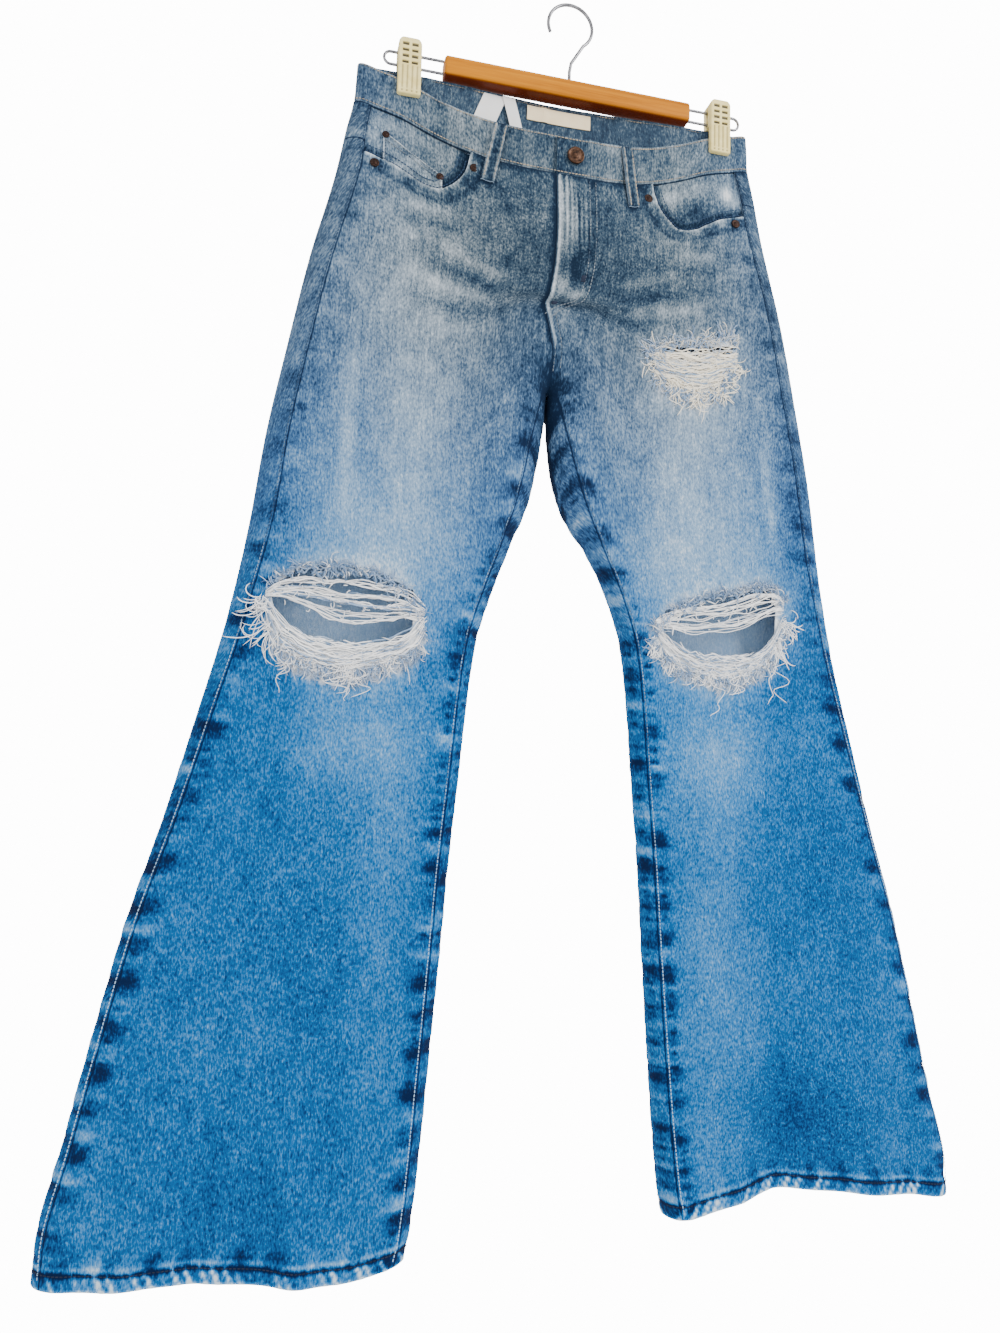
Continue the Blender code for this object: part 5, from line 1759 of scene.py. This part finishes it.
def fasteners():
    """Rivet caps at the pocket mouths, two small ones on the coin pocket, and the waist button."""
    cap = rounded(.0042, .0012, RIVET_SHAPE)
    for number, (side, x, z, seat) in enumerate(RIVETS, 1):
        turned(f"rivet_{number}_cap", side, x, z, cap, seat, COPPER, [f"rivet_{number}"], "copper")
    small_cap = rounded(.0034, .0011, RIVET_SHAPE)
    for number, ((x, z), inwards) in enumerate(zip(COIN_TOP, (.002, -.002)), 1):
        turned(f"coin_rivet_{number}", RIGHT, x + inwards, z - .003, small_cap, .0001, COPPER, None, "copper")
    button = rounded(.0080, .0030, BUTTON_SHAPE)
    turned("waist_button", LEFT, .0035, BAND_TOP - .018, button, .0006, BRASS, ["button"], "dark_brass", 48)


BAR_HALF, BAR_TOP, BAR_TALL, BAR_DEEP = .1195, .0075, .0195, .018
CLIP_PLACE, CLIP_HALF, CLIP_TOP, CLIP_FOOT, CLIP_THICK = .1515, .0105, .016, -.038, .0045
CLIP_CORNER, CLIP_FOOT_CORNER, CLIP_ROUND = .0055, .002, .0014
SLOT_ROWS, SLOT_PITCH, SLOT_TOP = 4, .0058, CLIP_TOP - .0068
SLOT_COLUMN, SLOT_HALF, SLOT_TALL, SLOT_DEEP = .0042, .0028, .0013, .0016
GROOVES, GROOVE_DEEP, DOT_LEVEL = (-.0066, -.0022, .0022, .0066), .0008, -.0352
RAIL_RADIUS, RAIL_UPPER, RAIL_LOWER, RAIL_PAST_CLIP = .0013, .0050, -.0070, .006
HOOK_RADIUS, HOOK_WIRE = .0216, .0016


def bar():
    """The wood bar, with rounded edges and slightly drawn-in ends."""
    along, around = 90, 40
    points, under = [], []
    c, s = np.cos(whole_turn(around)), np.sin(whole_turn(around))
    square_y, square_z = np.sign(c) * np.abs(c) ** .38, np.sign(s) * np.abs(s) ** .38
    middle = BAR_TOP - BAR_TALL / 2 - WAIST_DROP
    for u in spaced(-1, 1, along):
        end = 1 - .16 * np.clip((abs(u) - .985) / .015, 0, 1) ** 2
        y = square_y * BAR_DEEP / 2 * end * .985
        z = middle + square_z * BAR_TALL / 2 * end * .985
        points += [(u * BAR_HALF, p, q) for p, q in zip(y, z)]
        # Painted shade on the bar's underside.
        under += list(np.clip((-s - .62) / .3, 0, 1))
    made = new_mesh("wood_bar", points, ring_faces(along, around), WOOD)
    give(made.data, "under", under)
    claim(made, ["hanger_bar"], "honey_wood")


def wire(name, path, radius, node):
    """A round wire along a path that lies in the hanger's plane."""
    around = 12
    path = np.asarray(path, float)
    way = np.gradient(path, axis=0)
    way /= np.linalg.norm(way, axis=1, keepdims=True)
    side_way = np.array([0.0, 1.0, 0.0])
    points = [p + radius * (side_way * math.cos(a) + np.cross(w, side_way) * math.sin(a))
              for p, w in zip(path, way) for a in whole_turn(around)]
    claim(new_mesh(name, points, ring_faces(len(path), around), STEEL), [node], "steel")


def arc(centre, radius, start, end, count):
    """Points round a centre in the hanger's plane, from one angle to another in degrees."""
    return [(centre[0] + radius * math.cos(a), 0, centre[1] + radius * math.sin(a))
            for a in np.radians(np.linspace(start, end, count))]


def hook():
    """The steel hook: a straight neck out of the bar and a round bend."""
    top = BAR_TOP - WAIST_DROP
    neck = [(0, 0, top + SEAM_GAP), (0, 0, top + .012), (.0015, 0, top + .021)]
    round_part = arc((0, -HOOK_RADIUS + HOOK_WIRE), HOOK_RADIUS, -52, 205, 70)
    wire("hook_wire", neck + round_part, HOOK_WIRE, "hanger_hook")


def rails():
    """On each side a wire that leaves the bar, turns back past the clip and ends at the bar again."""
    upper, lower = RAIL_UPPER - WAIST_DROP, RAIL_LOWER - WAIST_DROP
    end = CLIP_PLACE + CLIP_HALF + RAIL_PAST_CLIP
    turn = arc((end, (upper + lower) / 2), (upper - lower) / 2, 90, -90, 24)
    for side in (RIGHT, LEFT):
        start = side * (BAR_HALF + SEAM_GAP)
        path = [(start, 0, upper)] + [(side * x, 0, z) for x, _, z in turn] + [(start, 0, lower)]
        wire(f"rail_wire_{SIDE_NAME[side]}", path, RAIL_RADIUS, f"hanger_rail_{SIDE_NAME[side]}")


def jaw_outline():
    """Places over a jaw's face, whose corners are round, and how near each is to the rim."""
    z = np.linspace(CLIP_FOOT, CLIP_TOP, 136)[:, None]
    high = np.clip(z - (CLIP_TOP - CLIP_CORNER), 0, CLIP_CORNER)
    low = np.clip(CLIP_FOOT + CLIP_FOOT_CORNER - z, 0, CLIP_FOOT_CORNER)
    half = CLIP_HALF - (CLIP_CORNER - np.sqrt(CLIP_CORNER ** 2 - high ** 2))
    half = half - (CLIP_FOOT_CORNER - np.sqrt(CLIP_FOOT_CORNER ** 2 - low ** 2))
    x = np.linspace(-1, 1, 54)[None, :] * half
    rim = np.minimum(half - np.abs(x), np.minimum(CLIP_TOP - z, z - CLIP_FOOT) + 0 * x)
    return x, z, rim


def jaw_relief():
    """A jaw's front and back, as depths, and the painted shade in its slots, grooves and dots."""
    x, z, rim = jaw_outline()
    grip = float(DEPTH(BAND_TOP)) + SEAM_GAP
    soft = np.clip(CLIP_ROUND - rim, 0, CLIP_ROUND)
    front = grip + CLIP_THICK - (CLIP_ROUND - np.sqrt(CLIP_ROUND ** 2 - soft ** 2))
    dark = np.zeros(x.shape)
    for row in range(SLOT_ROWS):
        for column in (-1, 1):
            near = np.maximum(np.abs(x - column * SLOT_COLUMN) / SLOT_HALF,
                              np.abs(z - (SLOT_TOP - row * SLOT_PITCH)) / SLOT_TALL)
            slot = ease(1.12, .88, near)
            front, dark = front - SLOT_DEEP * slot, np.maximum(dark, slot)
    for place in GROOVES:
        along = ease(-.0335, -.0325, z) * ease(-.0105, -.0115, z)
        groove = np.exp(-((x - place) / .0007) ** 2) * along
        dot = np.exp(-(np.hypot(x - place, z - DOT_LEVEL) / .0009) ** 2)
        front = front - GROOVE_DEEP * groove - GROOVE_DEEP * dot
        dark = np.maximum(dark, np.maximum(.55 * groove, .8 * dot))
    back = np.where(z < BAND_TOP + .0022, grip, RAIL_RADIUS + SEAM_GAP) + 0 * x
    return x, z, front, back, dark


def clips():
    """Each jaw: a rounded plate with two columns of slots above and four grooves that end in dots below."""
    x, z, front, back, dark = jaw_relief()
    rows, columns = x.shape
    index = np.arange(rows * columns).reshape(rows, columns)
    quads = np.stack([index[:-1, :-1], index[:-1, 1:], index[1:, 1:], index[1:, :-1]], axis=-1).reshape(-1, 4)
    loop = np.concatenate([index[0], index[1:, -1], index[-1, -2::-1], index[-2:0:-1, 0]])
    ahead, shift = np.roll(loop, -1), rows * columns
    rims = np.stack([loop, loop + shift, ahead + shift, ahead], axis=-1)
    faces = np.concatenate([quads, quads[:, ::-1] + shift, rims])
    for side in (RIGHT, LEFT):
        for face, layer in ((FRONT, "front"), (BACK, "back")):
            name = f"clip_{SIDE_NAME[side]}_{layer}"
            across, height = side * CLIP_PLACE + x, z - WAIST_DROP + 0 * x
            shells = [np.stack([across, face * y, height], axis=-1).reshape(-1, 3) for y in (front, back)]
            turned_out = faces if face == FRONT else faces[:, ::-1]
            made = new_mesh(f"{name}_jaw", np.concatenate(shells), turned_out, PLASTIC)
            # Painted shade in the recesses, on the jaw's outer face only.
            give(made.data, "hollow", np.concatenate([dark.reshape(-1), dark.reshape(-1) * 0]))
            claim(made, [name], "ivory_plastic")


photo_camera()
pale_floor()
studio_light()
panels()
waistband()
pocket_facings()
coin_pocket()
back_pockets()
fly_shield()
belt_loops()
topstitching()
rips()
labels()
fasteners()
bar()
hook()
rails()
clips()
